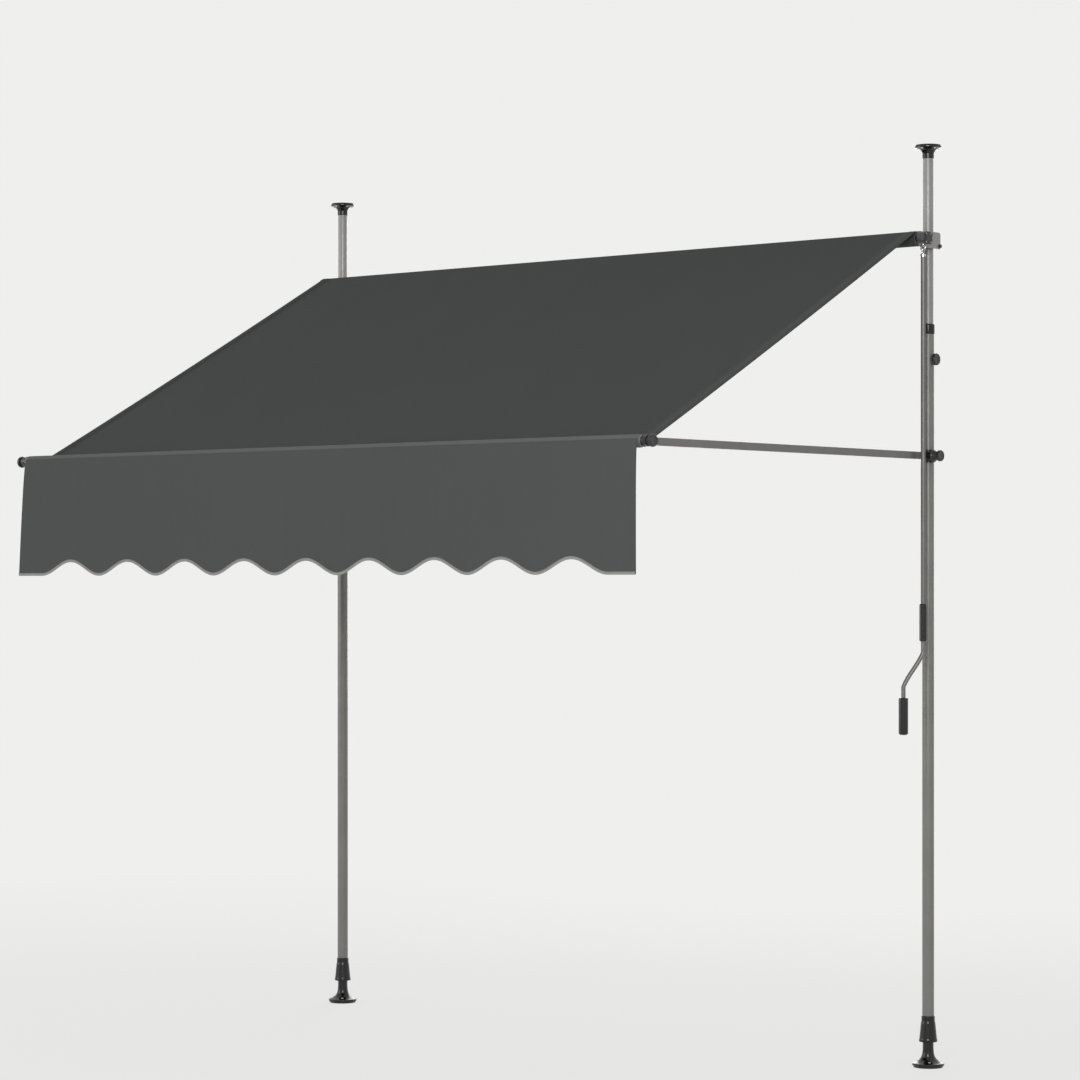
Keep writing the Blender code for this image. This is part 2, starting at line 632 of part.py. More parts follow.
def make_gear_housing():
    def sideways(u, v, w):
        return Vector((HALF + w, u, v))

    start = SIDE_PLATE_INNER + SIDE_PLATE_THICKNESS + GAP
    front = -ROLLER_FORWARD - HOUSING_FRONT
    back = -ROLLER_FORWARD + HOUSING_BACK
    low = ROLLER_HEIGHT - HOUSING_HALF_HEIGHT
    high = ROLLER_HEIGHT + HOUSING_HALF_HEIGHT
    outline = rounded_box(front, back, low, high, HOUSING_CORNER)
    housing = add_piece("gear_housing", extruded(outline, sideways, start, HOUSING_OUTER), GREY)
    wall = HOUSING_WALL
    inside = rounded_box(front + wall, back - wall, low + wall, high - wall, HOUSING_CORNER - wall)
    cavity = extruded(inside, sideways, start + wall, HOUSING_OUTER + 0.01)
    boolean(housing, cutter("gear_cavity", cavity), "DIFFERENCE")
    shaft_hole = turned([(0, 0), (SPIGOT_R + GAP, 0), (SPIGOT_R + GAP, 0.01), (0, 0.01)],
                        along_x(1, HALF + start - 0.005, *ROLLER_AXIS.yz))
    boolean(housing, cutter("shaft_hole", shaft_hole), "DIFFERENCE")
    journal_hole = turned([(0, low - 0.005), (JOURNAL_R + GAP, low - 0.005), (JOURNAL_R + GAP, low + 0.005),
                           (0, low + 0.005)], Matrix.Translation((WORM_X, -WORM_FORWARD, 0)))
    boolean(housing, cutter("journal_hole", journal_hole), "DIFFERENCE")

    cover_start = HOUSING_OUTER + GAP
    cover = extruded(outline, sideways, cover_start, cover_start + COVER_THICKNESS)
    panel = rounded_box(front + 0.005, back - 0.005, low + 0.005, high - 0.005, 0.005)
    raised = cutter("cover_panel", extruded(panel, sideways, cover_start + 0.001,
                                            cover_start + COVER_THICKNESS + 0.001))
    boolean(add_piece("gear_cover", cover, GREY), raised, "UNION")


# Crank

def make_crank():
    x, y = WORM_X, -WORM_FORWARD
    reach = EYE_WIRE_R + HOOK_WIRE_R + GAP
    collar_top = HOOK_PIVOT - HOOK_DROP
    path = [(x, y - u, HOOK_PIVOT + v) for u, v in arc(0, 0, reach, -130, -400, 16)]
    path.reverse()
    lead = path[-1]
    path += [(x, y + (lead[1] - y) * 0.55, lead[2] - 0.0016), (x, y, collar_top - 0.001)]
    hook = add_piece("crank_hook", swept(path, HOOK_WIRE_R, 12), CHROME)
    post = Matrix.Translation((x, y, 0))
    bottom = collar_top - HOOK_COLLAR
    collar = turned([(0, bottom), (HOOK_COLLAR_R, bottom), (HOOK_COLLAR_R, collar_top - 0.002),
                     (HOOK_COLLAR_R - 0.003, collar_top), (0, collar_top)], post)
    boolean(hook, cutter("hook_collar", collar), "UNION")

    bore = CRANK_ROD_R + GAP
    grip_bottom = UPPER_GRIP_TOP - UPPER_GRIP_LENGTH
    rod_end = grip_bottom - ROD_PAST_GRIP
    rod = [(0, rod_end), (CRANK_ROD_R, rod_end), (CRANK_ROD_R, bottom - GAP), (0, bottom - GAP)]
    add_piece("crank_rod", turned(rod, post), STEEL)
    grip = [(bore, grip_bottom), (UPPER_GRIP_R - 0.0015, grip_bottom), (UPPER_GRIP_R, grip_bottom + 0.0025),
            (UPPER_GRIP_R, UPPER_GRIP_TOP - 0.0025), (UPPER_GRIP_R - 0.0015, UPPER_GRIP_TOP),
            (bore, UPPER_GRIP_TOP)]
    add_piece("crank_upper_grip", turned(grip, post), BLACK)

    angle = math.radians(CRANK_THROW_ANGLE)
    end = Vector((x + CRANK_THROW * math.cos(angle), y + CRANK_THROW * math.sin(angle), 0))
    start = Vector((x, y, 0))
    rod_top = rod_end - GAP
    lower_end = LOWER_GRIP_TOP - LOWER_GRIP_LENGTH + 0.006
    bend = []
    for share in range(9):
        t = share / 8
        ease = t * t * (3 - 2 * t)
        ease = 0.35 * ease + 0.65 * t
        spot = start.lerp(end, ease)
        bend.append((spot.x, spot.y, BEND_TOP + (BEND_BOTTOM - BEND_TOP) * t))
    path = [(x, y, rod_top)] + bend + [(end.x, end.y, lower_end)]
    add_piece("crank_bend", swept(path, CRANK_BEND_R), STEEL)

    bore = CRANK_BEND_R + GAP
    low = LOWER_GRIP_TOP - LOWER_GRIP_LENGTH
    cap = lower_end - GAP
    grip = [(0, low), (LOWER_GRIP_R - 0.005, low), (LOWER_GRIP_R - 0.0015, low + 0.002),
            (LOWER_GRIP_R, low + 0.005), (LOWER_GRIP_R, LOWER_GRIP_TOP - 0.002),
            (LOWER_GRIP_R - 0.002, LOWER_GRIP_TOP), (bore, LOWER_GRIP_TOP), (bore, cap), (0, cap)]
    add_piece("crank_lower_grip", turned(grip, Matrix.Translation((end.x, end.y, 0))), BLACK)


# Arms

def make_arm(side):
    label = side_name(side)

    def sideways(u, v, w):
        return Vector((side * (HALF + w), u, v))

    def flat(u, v, w):
        return Vector((side * (HALF + u), -v, ARM_PIVOT_HEIGHT + w))

    def lengthwise(u, v, w):
        return Vector((side * (HALF + u), -w, ARM_PIVOT_HEIGHT + v))

    pivot_y = -ARM_PIVOT_FORWARD
    face = CLAMP_R + GAP
    boss = [(0, 0.004), (PIVOT_BOSS_R, 0.004), (PIVOT_BOSS_R, face), (0, face)]
    ring = [(0, -CLAMP_HALF_HEIGHT), (CLAMP_R, -CLAMP_HALF_HEIGHT), (CLAMP_R, CLAMP_HALF_HEIGHT),
            (0, CLAMP_HALF_HEIGHT)]
    at_post = Matrix.Translation((side * HALF, 0, ARM_PIVOT_HEIGHT))
    clamp = add_piece(f"arm_clamp_{label}", turned(ring, at_post, CLAMP_ROUND), BLACK)
    at_pivot = along_x(side, side * HALF, pivot_y, ARM_PIVOT_HEIGHT)
    boolean(clamp, cutter(f"clamp_boss_{label}", turned(boss, at_pivot)), "UNION")
    bore_r = LOWER_TUBE_R + GAP
    bore = turned([(0, -0.03), (bore_r, -0.03), (bore_r, 0.03), (0, 0.03)], at_post, CLAMP_ROUND)
    boolean(clamp, cutter(f"clamp_bore_{label}", bore), "DIFFERENCE")
    near_edge = ARM_PIVOT_FORWARD - PIVOT_BOLT_R - GAP
    hole_start = math.sqrt(max(bore_r ** 2 - near_edge ** 2, 0)) + 0.0007
    hole_r = PIVOT_BOLT_R + GAP
    bolt_hole = turned([(0, hole_start), (hole_r, hole_start), (hole_r, 0.03), (0, 0.03)],
                       at_pivot, SMALL_ROUND)
    hole_tool = cutter(f"pivot_hole_{label}", bolt_hole)
    boolean(clamp, hole_tool, "DIFFERENCE")

    back = ARM_PIVOT_FORWARD + ARM_BACK_SETBACK
    front = BAR_FORWARD - ARM_FRONT_SETBACK
    outer = ARM_INNER + ARM_WIDTH
    half = ARM_HEIGHT / 2
    tube = add_piece(f"arm_tube_{label}", extruded(rounded_box(ARM_INNER, outer, -half, half, ARM_CORNER, 3),
                                                   lengthwise, back, front), STEEL)
    inner = rounded_box(ARM_INNER + ARM_WALL, outer - ARM_WALL, -half + ARM_WALL, half - ARM_WALL, GAP, 1)
    boolean(tube, cutter(f"arm_bore_{label}", extruded(inner, lengthwise, back - 0.01, front + 0.01)),
            "DIFFERENCE")

    plate_in = face + GAP
    plate_out = plate_in + PIVOT_PLATE
    plug_in = ARM_INNER + ARM_WALL + GAP
    plug_out = outer - ARM_WALL - GAP
    seat = back - GAP
    elbow = [(plate_in, ARM_PIVOT_FORWARD), (plate_out, ARM_PIVOT_FORWARD), (plate_out, seat),
             (plug_out, seat), (plug_out, back + ARM_PLUG), (plug_in, back + ARM_PLUG), (plug_in, seat),
             (ARM_INNER, seat), (ARM_INNER, seat - 0.007), (plate_in, seat - 0.011)]
    plug_half = half - ARM_WALL - GAP
    pole_end = add_piece(f"arm_pole_end_{label}", extruded(elbow, flat, -plug_half, plug_half), BLACK)
    eye = turned([(0, plate_in), (PIVOT_EYE_R, plate_in), (PIVOT_EYE_R, plate_out), (0, plate_out)], at_pivot)
    boolean(pole_end, cutter(f"pole_eye_{label}", eye), "UNION")
    boolean(pole_end, hole_tool, "DIFFERENCE")

    flange = plate_out + GAP
    knob_end = flange + PIVOT_KNOB_LENGTH
    tip = hole_start + GAP
    knob = [(0, tip), (PIVOT_BOLT_R, tip), (PIVOT_BOLT_R, flange), (PIVOT_KNOB_FLANGE_R, flange),
            (PIVOT_KNOB_FLANGE_R, flange + 0.004), (PIVOT_KNOB_FLANGE_R - 0.002, flange + 0.006),
            (0.0105, knob_end - 0.011), (0.0105, knob_end - 0.008), (PIVOT_KNOB_HEAD_R - 0.001, knob_end - 0.008),
            (PIVOT_KNOB_HEAD_R, knob_end - 0.007), (PIVOT_KNOB_HEAD_R, knob_end - 0.0015),
            (PIVOT_KNOB_HEAD_R - 0.002, knob_end), (PIVOT_KNOB_HEAD_R - 0.005, knob_end),
            (PIVOT_KNOB_HEAD_R - 0.007, knob_end - 0.001), (0, knob_end - 0.001)]
    add_piece(f"arm_pivot_knob_{label}", turned(knob, at_pivot), BLACK)

    cap_face = BAR_OVERHANG + GAP + CAP_DISC
    eye_in = cap_face + GAP
    eye_out = cap_face + CAP_BOSS - GAP
    stop = front + GAP
    fork = [(plug_in, front - ARM_PLUG), (plug_out, front - ARM_PLUG), (plug_out, stop), (eye_out - 0.006, stop),
            (eye_out, stop + 0.006), (eye_out, BAR_FORWARD), (eye_in, BAR_FORWARD), (eye_in, stop + 0.012),
            (ARM_INNER, stop + 0.012), (ARM_INNER, stop), (plug_in, stop)]
    bar_end = add_piece(f"arm_bar_end_{label}", extruded(fork, flat, -plug_half, plug_half), BLACK)
    at_bar = along_x(side, side * HALF, -BAR_FORWARD, BAR_HEIGHT)
    eye = turned([(0, eye_in), (BAR_EYE_R, eye_in), (BAR_EYE_R, eye_out), (0, eye_out)], at_bar)
    boolean(bar_end, cutter(f"bar_eye_{label}", eye), "UNION")
    hole = turned([(0, 0), (CAP_BOSS_R + GAP, 0), (CAP_BOSS_R + GAP, 0.06), (0, 0.06)], at_bar)
    boolean(bar_end, cutter(f"bar_eye_hole_{label}", hole), "DIFFERENCE")


def make_front_bar():
    axis = Matrix.Translation((0, -BAR_FORWARD, BAR_HEIGHT)) @ Matrix.Rotation(math.radians(90), 4, "Y")
    half = HALF + BAR_OVERHANG
    add_piece("front_bar", turned(tube_profile(BAR_R, TUBE_WALL, -half, half), axis, ROUND), STEEL)
    plug_r = BAR_R - TUBE_WALL - GAP
    seat = BAR_OVERHANG + GAP
    face = seat + CAP_DISC
    boss = face + CAP_BOSS
    hole = BAR_KNOB_SCREW_R + GAP
    screw_end = face + 0.001
    head = boss + GAP
    for side in (-1, 1):
        label = side_name(side)
        at_bar = along_x(side, side * HALF, -BAR_FORWARD, BAR_HEIGHT)
        cap = [(0, seat - 0.022), (plug_r, seat - 0.022), (plug_r, seat), (BAR_R + 0.0004, seat),
               (BAR_R + 0.0004, face - 0.001), (BAR_R - 0.0006, face), (CAP_BOSS_R, face), (CAP_BOSS_R, boss),
               (hole, boss), (hole, screw_end - GAP), (0, screw_end - GAP)]
        add_piece(f"front_bar_cap_{label}", turned(cap, at_bar), BLACK)
        end = head + BAR_KNOB_LENGTH
        knob = [(0, screw_end), (BAR_KNOB_SCREW_R, screw_end), (BAR_KNOB_SCREW_R, head), (0.0125, head),
                (0.0125, head + 0.003), (0.0095, head + 0.0045), (0.0095, end - 0.0085),
                (BAR_KNOB_HEAD_R - 0.001, end - 0.0085), (BAR_KNOB_HEAD_R, end - 0.0075),
                (BAR_KNOB_HEAD_R, end - 0.0015), (BAR_KNOB_HEAD_R - 0.002, end), (BAR_KNOB_HEAD_R - 0.005, end),
                (BAR_KNOB_HEAD_R - 0.007, end - 0.001), (0, end - 0.001)]
        add_piece(f"bar_knob_{label}", turned(knob, at_bar), BLACK)


# Cloth

def make_canopy():
    """Thin curved sheet from the top of the roll to the underside of the sleeve round the front bar."""
    roll_r = FABRIC_ROLL_R + GAP
    under_bar = SLEEVE_R + GAP + CLOTH
    run = BAR_FORWARD - ROLLER_FORWARD
    fall = ROLLER_HEIGHT - BAR_HEIGHT
    slope = math.atan2(fall, run) + math.asin((roll_r + under_bar) / math.hypot(run, fall))
    lean = Vector((0, -math.sin(slope), math.cos(slope)))
    start = Vector((0, -ROLLER_FORWARD, ROLLER_HEIGHT)) + lean * roll_r
    end = Vector((0, -BAR_FORWARD, BAR_HEIGHT)) - lean * under_bar
    along = 12
    across = 6
    bm = bmesh.new()
    layers = []
    for thick in (0.0, CLOTH):
        grid = []
        for i in range(along + 1):
            t = i / along
            half = HALF + FABRIC_OVERHANG - CANOPY_DRAW_IN * t
            row = []
            for j in range(across + 1):
                share = j / across * 2 - 1
                sag = CANOPY_SAG * 4 * t * (1 - t) * (1 - (1 - CANOPY_EDGE_SAG) * share ** 2)
                spot = start.lerp(end, t) + lean * (thick - sag)
                row.append(bm.verts.new((share * half, spot.y, spot.z)))
            grid.append(row)
        layers.append(grid)
    low, high = layers
    for i in range(along):
        for j in range(across):
            bm.faces.new((low[i][j], low[i][j + 1], low[i + 1][j + 1], low[i + 1][j]))
            bm.faces.new((high[i][j], high[i + 1][j], high[i + 1][j + 1], high[i][j + 1]))
    for i in range(along):
        for j in (0, across):
            bm.faces.new((low[i][j], low[i + 1][j], high[i + 1][j], high[i][j]))
    for j in range(across):
        for i in (0, along):
            bm.faces.new((low[i][j], high[i][j], high[i][j + 1], low[i][j + 1]))
    add_piece("canopy", bm, CANVAS)


def make_bar_sleeve():
    """Hem pocket of the cloth, which the front bar runs through."""
    axis = Matrix.Translation((0, -BAR_FORWARD, BAR_HEIGHT)) @ Matrix.Rotation(math.radians(90), 4, "Y")
    half = HALF + FABRIC_OVERHANG
    add_piece("bar_sleeve", turned(tube_profile(SLEEVE_R, CLOTH, -half, half), axis, ROUND), CANVAS)


def scallop_edge():
    """Lower edge of the valance: a flat at each end and evenly spaced notches between."""
    half = HALF + FABRIC_OVERHANG
    bottom = BAR_HEIGHT - VALANCE_DROP
    steps = NOTCHES * STEPS_PER_NOTCH
    waves = NOTCHES * NOTCH_PITCH
    points = [(-half, bottom)]
    for k in range(steps + 1):
        x = waves * (k / steps - 0.5)
        points.append((x, bottom + NOTCH_DEPTH * math.sin(math.pi * k / STEPS_PER_NOTCH) ** 2))
    points.append((half, bottom))
    return points


def make_valance():
    edge = scallop_edge()
    back = -BAR_FORWARD - SLEEVE_R - GAP
    top = BAR_HEIGHT + VALANCE_HEM

    def place(u, v, w):
        return Vector((u, w, v))

    def strip(lower, upper, y0, y1):
        bm = bmesh.new()
        rows = [[bm.verts.new(place(u, v, y)) for u, v in line] for y in (y0, y1) for line in (lower, upper)]
        low0, high0, low1, high1 = rows
        for i in range(len(lower) - 1):
            j = i + 1
            bm.faces.new((low0[i], low0[j], high0[j], high0[i]))
            bm.faces.new((low1[j], low1[i], high1[i], high1[j]))
            bm.faces.new((low0[j], low0[i], low1[i], low1[j]))
            bm.faces.new((high0[i], high0[j], high1[j], high1[i]))
        last = len(lower) - 1
        bm.faces.new((low0[0], high0[0], high1[0], low1[0]))
        bm.faces.new((high0[last], low0[last], low1[last], high1[last]))
        return bm

    raised = [(u, v + BINDING_HEIGHT) for u, v in edge]
    seam = [(u, v - GAP) for u, v in raised]
    head = [(u, top) for u, v in edge]
    add_piece("valance", strip(raised, head, back - CLOTH, back), CANVAS)
    spare = (BINDING_THICKNESS - CLOTH) / 2
    add_piece("valance_binding", strip(edge, seam, back - CLOTH - spare, back + spare), BINDING)


# Assembly

for side in (-1, 1):
    make_post(side, make_foot(side))
    make_bracket(side)
    make_arm(side)
make_roller()
make_worm_wheel()
make_worm_shaft()
make_gear_housing()
make_crank()
make_front_bar()
make_bar_sleeve()
make_canopy()
make_valance()


def centre_on_floor():
    """Stand the frame so that the origin lies under the middle of the whole awning."""
    bpy.context.view_layer.update()
    corners = []
    for piece in frame_empty.children:
        if not piece.hide_render:
            corners += [piece.matrix_world @ vertex.co for vertex in piece.data.vertices]
    low = Vector(map(min, zip(*corners)))
    high = Vector(map(max, zip(*corners)))
    frame_empty.location = (-(low.x + high.x) / 2, -(low.y + high.y) / 2, -low.z)


centre_on_floor()
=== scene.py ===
# Looks of a canvas awning on two telescopic clamp posts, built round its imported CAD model.
# Metres, +Z up. X runs along the roller with the crank on +X, -Y is the street side.

import json
import math

import bmesh
import bpy
from mathutils import Euler, Matrix, Vector

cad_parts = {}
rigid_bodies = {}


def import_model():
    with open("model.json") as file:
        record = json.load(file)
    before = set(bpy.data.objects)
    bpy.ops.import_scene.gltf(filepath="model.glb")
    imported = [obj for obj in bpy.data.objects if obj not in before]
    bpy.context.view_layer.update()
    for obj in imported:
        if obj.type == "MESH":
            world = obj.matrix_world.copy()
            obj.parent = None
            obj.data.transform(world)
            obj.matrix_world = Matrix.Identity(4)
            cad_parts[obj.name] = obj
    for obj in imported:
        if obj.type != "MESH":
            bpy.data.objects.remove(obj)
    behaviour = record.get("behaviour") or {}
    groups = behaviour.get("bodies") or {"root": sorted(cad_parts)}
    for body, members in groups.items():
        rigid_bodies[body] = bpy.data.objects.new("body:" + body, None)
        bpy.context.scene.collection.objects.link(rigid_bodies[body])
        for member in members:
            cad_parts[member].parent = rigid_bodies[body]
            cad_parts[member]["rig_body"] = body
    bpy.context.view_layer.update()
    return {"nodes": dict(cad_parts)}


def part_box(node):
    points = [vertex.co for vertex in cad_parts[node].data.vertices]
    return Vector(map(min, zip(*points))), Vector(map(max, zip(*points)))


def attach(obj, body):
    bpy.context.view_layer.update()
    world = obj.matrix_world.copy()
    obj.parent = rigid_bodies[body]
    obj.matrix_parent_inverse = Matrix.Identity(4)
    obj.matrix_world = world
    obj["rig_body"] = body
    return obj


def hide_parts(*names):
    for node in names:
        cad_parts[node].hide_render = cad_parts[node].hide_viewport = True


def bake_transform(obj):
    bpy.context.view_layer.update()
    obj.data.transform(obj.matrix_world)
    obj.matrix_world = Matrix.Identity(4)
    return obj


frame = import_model()

SIDES = {"left": -1, "right": 1}
FRONT = Vector((0, -1, 0))
MM = 0.001
FIT = 0.3 * MM
ROUND = 64

# Places read from the frame
roll_low, roll_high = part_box("fabric_roll")
sleeve_low, sleeve_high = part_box("bar_sleeve")
valance_low, valance_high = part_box("valance")
post_low, post_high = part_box("lower_pole_right")
ROLL_Y = (roll_low.y + roll_high.y) / 2
ROLL_Z = (roll_low.z + roll_high.z) / 2
ROLL_R = (roll_high.z - roll_low.z) / 2
CLOTH_HALF = roll_high.x
POST_X = (post_low.x + post_high.x) / 2
POST_Y = (post_low.y + post_high.y) / 2
POST_R = (post_high.x - post_low.x) / 2
POST_TOP = post_high.z
BAR_Y = (sleeve_low.y + sleeve_high.y) / 2
BAR_Z = (sleeve_low.z + sleeve_high.z) / 2
SLEEVE_R = (sleeve_high.z - sleeve_low.z) / 2
VALANCE_Y = (valance_low.y + valance_high.y) / 2
VALANCE_TOP = valance_high.z
VALANCE_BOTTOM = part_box("valance_binding")[0].z
VALANCE_HEIGHT = VALANCE_TOP - VALANCE_BOTTOM

# Canopy and roll; a layer is the share of the spiral's rise that the cloth fills
CLOTH_THICK = 0.9 * MM
CLOTH_SEAT = 0.6 * CLOTH_THICK
CANOPY_SAG = 12 * MM
CANOPY_EDGE_SAG = 0.35
CANOPY_DRAW_IN = 7 * MM
CANOPY_RIPPLE = 0.4 * MM
CANOPY_ROWS = 72
CANOPY_COLUMNS = 90
HEM_WIDTH = 22 * MM
HEM_STEP = 0.6 * MM
HEM_STITCH_INSET = 4 * MM
ROLL_EDGE = 3 * MM
ROLL_TURNS = 2
ROLL_STEPS = 60
ROLL_LAYER = 0.9

# Sleeve, valance and binding
SLEEVE_CLOTH = 1.2 * MM
SLEEVE_ROUND = 64
SLEEVE_COLUMNS = 90
PUCKER = 0.2 * MM
NOTCHES = 9
NOTCH_PITCH = 225.5 * MM
NOTCH_DEPTH = 38 * MM
VALANCE_ROWS = 30
VALANCE_COLUMNS = 216
VALANCE_FORWARD = 4.5 * MM
SLOW_FOLD = 2.2 * MM
SMALL_FOLD = 1.2 * MM
CORNER_REACH = 170 * MM
CORNER_OUT = 9 * MM
CORNER_FORWARD = 15 * MM
BINDING_HEIGHT = 7.5 * MM
BINDING_HALF = 1.15 * MM
BINDING_COVER = 2 * MM
EDGE_SAMPLE = 1.5 * MM
EDGE_STEP = 3 * MM

# Waves of the cloth, in radians for each metre along the bar
CANOPY_WAVES = 21
SLEEVE_WAVES = 190
SLOW_WAVES = 5.3
SMALL_WAVES = 12.1

# Stitches
STITCH_LENGTH = 4.2 * MM
STITCH_GAP = 2.0 * MM
THREAD_R = 0.45 * MM
BINDING_STITCH_DROP = 1.6 * MM
SEAM_INSET = 3 * MM

# Turned pieces
TUBE_WALL = 1.5 * MM
FOOT_NECK_R = 14.5 * MM
FOOT_RIM = 7.5 * MM
FOOT_FALL = 9 * MM
FOOT_SKIRT = 40 * MM
STUD_R = 7 * MM
STUD_LENGTH = 75 * MM
SOCKET_DEPTH = 26.7 * MM
NUT_WEB = 11.8 * MM
PLATE_RIM = 4.7 * MM
PLATE_CONE = 12.5 * MM
PLATE_FALL = 4.5 * MM
PLATE_NECK_WALL = 1.7 * MM
PLATE_CUP = 8.3 * MM
KNOB_LOBES = 16
LOBE_DEPTH = 0.7 * MM

# Screws; a seat is how far a head's top stands off the surface under it
SCREW_R = 3.6 * MM
FOOT_SCREW_CIRCLE = 31 * MM
FOOT_SCREW_SEAT = 1.6 * MM
PLATE_SCREW_CIRCLE = 28 * MM
PLATE_SCREW_SEAT = 1.4 * MM
COVER_SCREW_R = 2.2 * MM
COVER_SCREW_CIRCLE = 16 * MM
COVER_SCREW_SEAT = 0.9 * MM

# Floor, light and camera
BACKGROUND = "#efefee"
FLOOR_RADIUS = 60.0
GLOW_SHARE = 0.8
GLOW_FROM = 2.0
GLOW_FULL = 6.0
WORLD_LIGHT = 0.35
# Each lamp's place, the point it looks at, its width and its watts
LAMPS = {"key": ((4.5, -5.5, 3.2), (0, 0, 1.3), 2.5, 185),
         "fill": ((-5.0, -4.5, 2.4), (0, 0, 1.4), 3.5, 85),
         "back": ((-2.5, 5.5, 2.6), (0, 0, 1.4), 3.5, 110)}
CAMERA_PLACE = Vector((POST_X + 4.969, POST_Y - 7.5964, 1.3132))
CAMERA_TURN = 39.85
SENSOR_WIDTH = 36
FOCAL_PIXELS = 3324
PICTURE_PIXELS = 1080
HORIZON_ROW = 582.7


# Node helper and colours

def srgb(hex_code):
    """sRGB hex to the linear values that shaders take."""
    values = [int(hex_code[i:i + 2], 16) / 255 for i in (1, 3, 5)]
    return [v / 12.92 if v <= 0.04045 else ((v + 0.055) / 1.055) ** 2.4 for v in values] + [1.0]


def add(tree, kind, settings=None, values=None, links=None):
    """Add a node, set its properties and inputs, and link other sockets to its inputs."""
    node = tree.nodes.new(kind)
    for name, value in (settings or {}).items():
        setattr(node, name, value)
    for name, value in (values or {}).items():
        node.inputs[name].default_value = value
    for name, socket in (links or {}).items():
        tree.links.new(socket, node.inputs[name])
    return node


def new_material(name, hex_code, roughness, metallic=0.0, **sockets):
    """A Principled material with its whole-surface values on its own sockets."""
    mat = bpy.data.materials.new(name)
    mat.use_nodes = True
    shader = mat.node_tree.nodes["Principled BSDF"]
    shader.inputs["Base Color"].default_value = srgb(hex_code)
    shader.inputs["Roughness"].default_value = roughness
    shader.inputs["Metallic"].default_value = metallic
    for socket, value in sockets.items():
        shader.inputs[socket.replace("_", " ")].default_value = value
    return mat, mat.node_tree, shader


def feed(tree, shader, **sockets):
    """Link pattern outputs to the shader's sockets."""
    for name, socket in sockets.items():
        tree.links.new(socket, shader.inputs[name.replace("_", " ")])


def band_scale(spacing):
    """Wave Texture scale at which one band lies every spacing metres."""
    return math.pi / (10 * spacing)


# Materials

def dyed_polyester_canvas(name, dark, light):
    """Solution-dyed polyester awning canvas, plain woven and calendered: matt, nearly even in colour, with
    a faint sheen at a glancing angle. Its threads lie 0.5 mm apart, drawn 1.5 mm apart so that they show."""
    mat, tree, shader = new_material(name, dark, 0.9, Sheen_Weight=0.05, Sheen_Roughness=0.5,
                                     Specular_IOR_Level=0.18)
    thread = 1.5 * MM
    uv = add(tree, "ShaderNodeUVMap", {"uv_map": "cloth"})
    warp, weft = [add(tree, "ShaderNodeTexWave", {"bands_direction": direction, "wave_profile": "SIN"},
                      {"Scale": band_scale(thread), "Distortion": 0.3, "Detail": 1.0, "Detail Scale": 0.4},
                      {"Vector": uv.outputs["UV"]}) for direction in ("X", "Y")]
    weave = add(tree, "ShaderNodeMath", {"operation": "MULTIPLY"},
                links={0: warp.outputs[1], 1: weft.outputs[1]})
    stretched = add(tree, "ShaderNodeMapping", values={"Scale": (1 / (11 * MM), 1 / (450 * MM), 1.0)},
                    links={"Vector": uv.outputs["UV"]})
    slub = add(tree, "ShaderNodeTexNoise", values={"Scale": 1.0, "Detail": 3.0, "Roughness": 0.6},
               links={"Vector": stretched.outputs["Vector"]})
    cloud = add(tree, "ShaderNodeTexNoise", values={"Scale": 1 / (600 * MM), "Detail": 2.0},
                links={"Vector": uv.outputs["UV"]})
    patchy = add(tree, "ShaderNodeMath", {"operation": "MULTIPLY_ADD"}, {1: 0.55, 2: 0.0},
                 {0: cloud.outputs[0]})
    slubbed = add(tree, "ShaderNodeMath", {"operation": "MULTIPLY_ADD"}, {1: 0.25},
                  {0: slub.outputs[0], 2: patchy.outputs[0]})
    shade = add(tree, "ShaderNodeMath", {"operation": "MULTIPLY_ADD"}, {1: 0.3},
                {0: weave.outputs[0], 2: slubbed.outputs[0]})
    colour = add(tree, "ShaderNodeMix", {"data_type": "RGBA"}, {"A": srgb(dark), "B": srgb(light)},
                 {"Factor": shade.outputs[0]})
    bump = add(tree, "ShaderNodeBump", values={"Distance": 0.3 * MM, "Strength": 0.4},
               links={"Height": weave.outputs[0]})
    feed(tree, shader, Base_Color=colour.outputs["Result"], Normal=bump.outputs["Normal"])
    return mat


def powder_coated_steel(name, dark, light, roughness):
    """Powder-coated steel tube: a satin metallic paint skin with a fine orange peel of 1 mm cells and
    slightly glossier places, 100 mm long, where hands have rubbed it."""
    mat, tree, shader = new_material(name, dark, roughness, 0.3, Coat_Weight=0.2, Coat_Roughness=0.25)
    place = add(tree, "ShaderNodeTexCoord")
    peel = add(tree, "ShaderNodeTexNoise", values={"Scale": 1 / (1.0 * MM), "Detail": 2.0},
               links={"Vector": place.outputs["Object"]})
    rubbed = add(tree, "ShaderNodeTexNoise",
                 values={"Scale": 1 / (100 * MM), "Detail": 4.0, "Roughness": 0.65},
                 links={"Vector": place.outputs["Object"]})
    colour = add(tree, "ShaderNodeMix", {"data_type": "RGBA"}, {"A": srgb(dark), "B": srgb(light)},
                 {"Factor": rubbed.outputs[0]})
    gloss = add(tree, "ShaderNodeMapRange", values={"To Min": roughness + 0.08, "To Max": roughness - 0.08},
                links={"Value": rubbed.outputs[0]})
    bump = add(tree, "ShaderNodeBump", values={"Distance": 0.05 * MM, "Strength": 0.2},
               links={"Height": peel.outputs[0]})
    feed(tree, shader, Base_Color=colour.outputs["Result"], Roughness=gloss.outputs["Result"],
         Normal=bump.outputs["Normal"])
    return mat


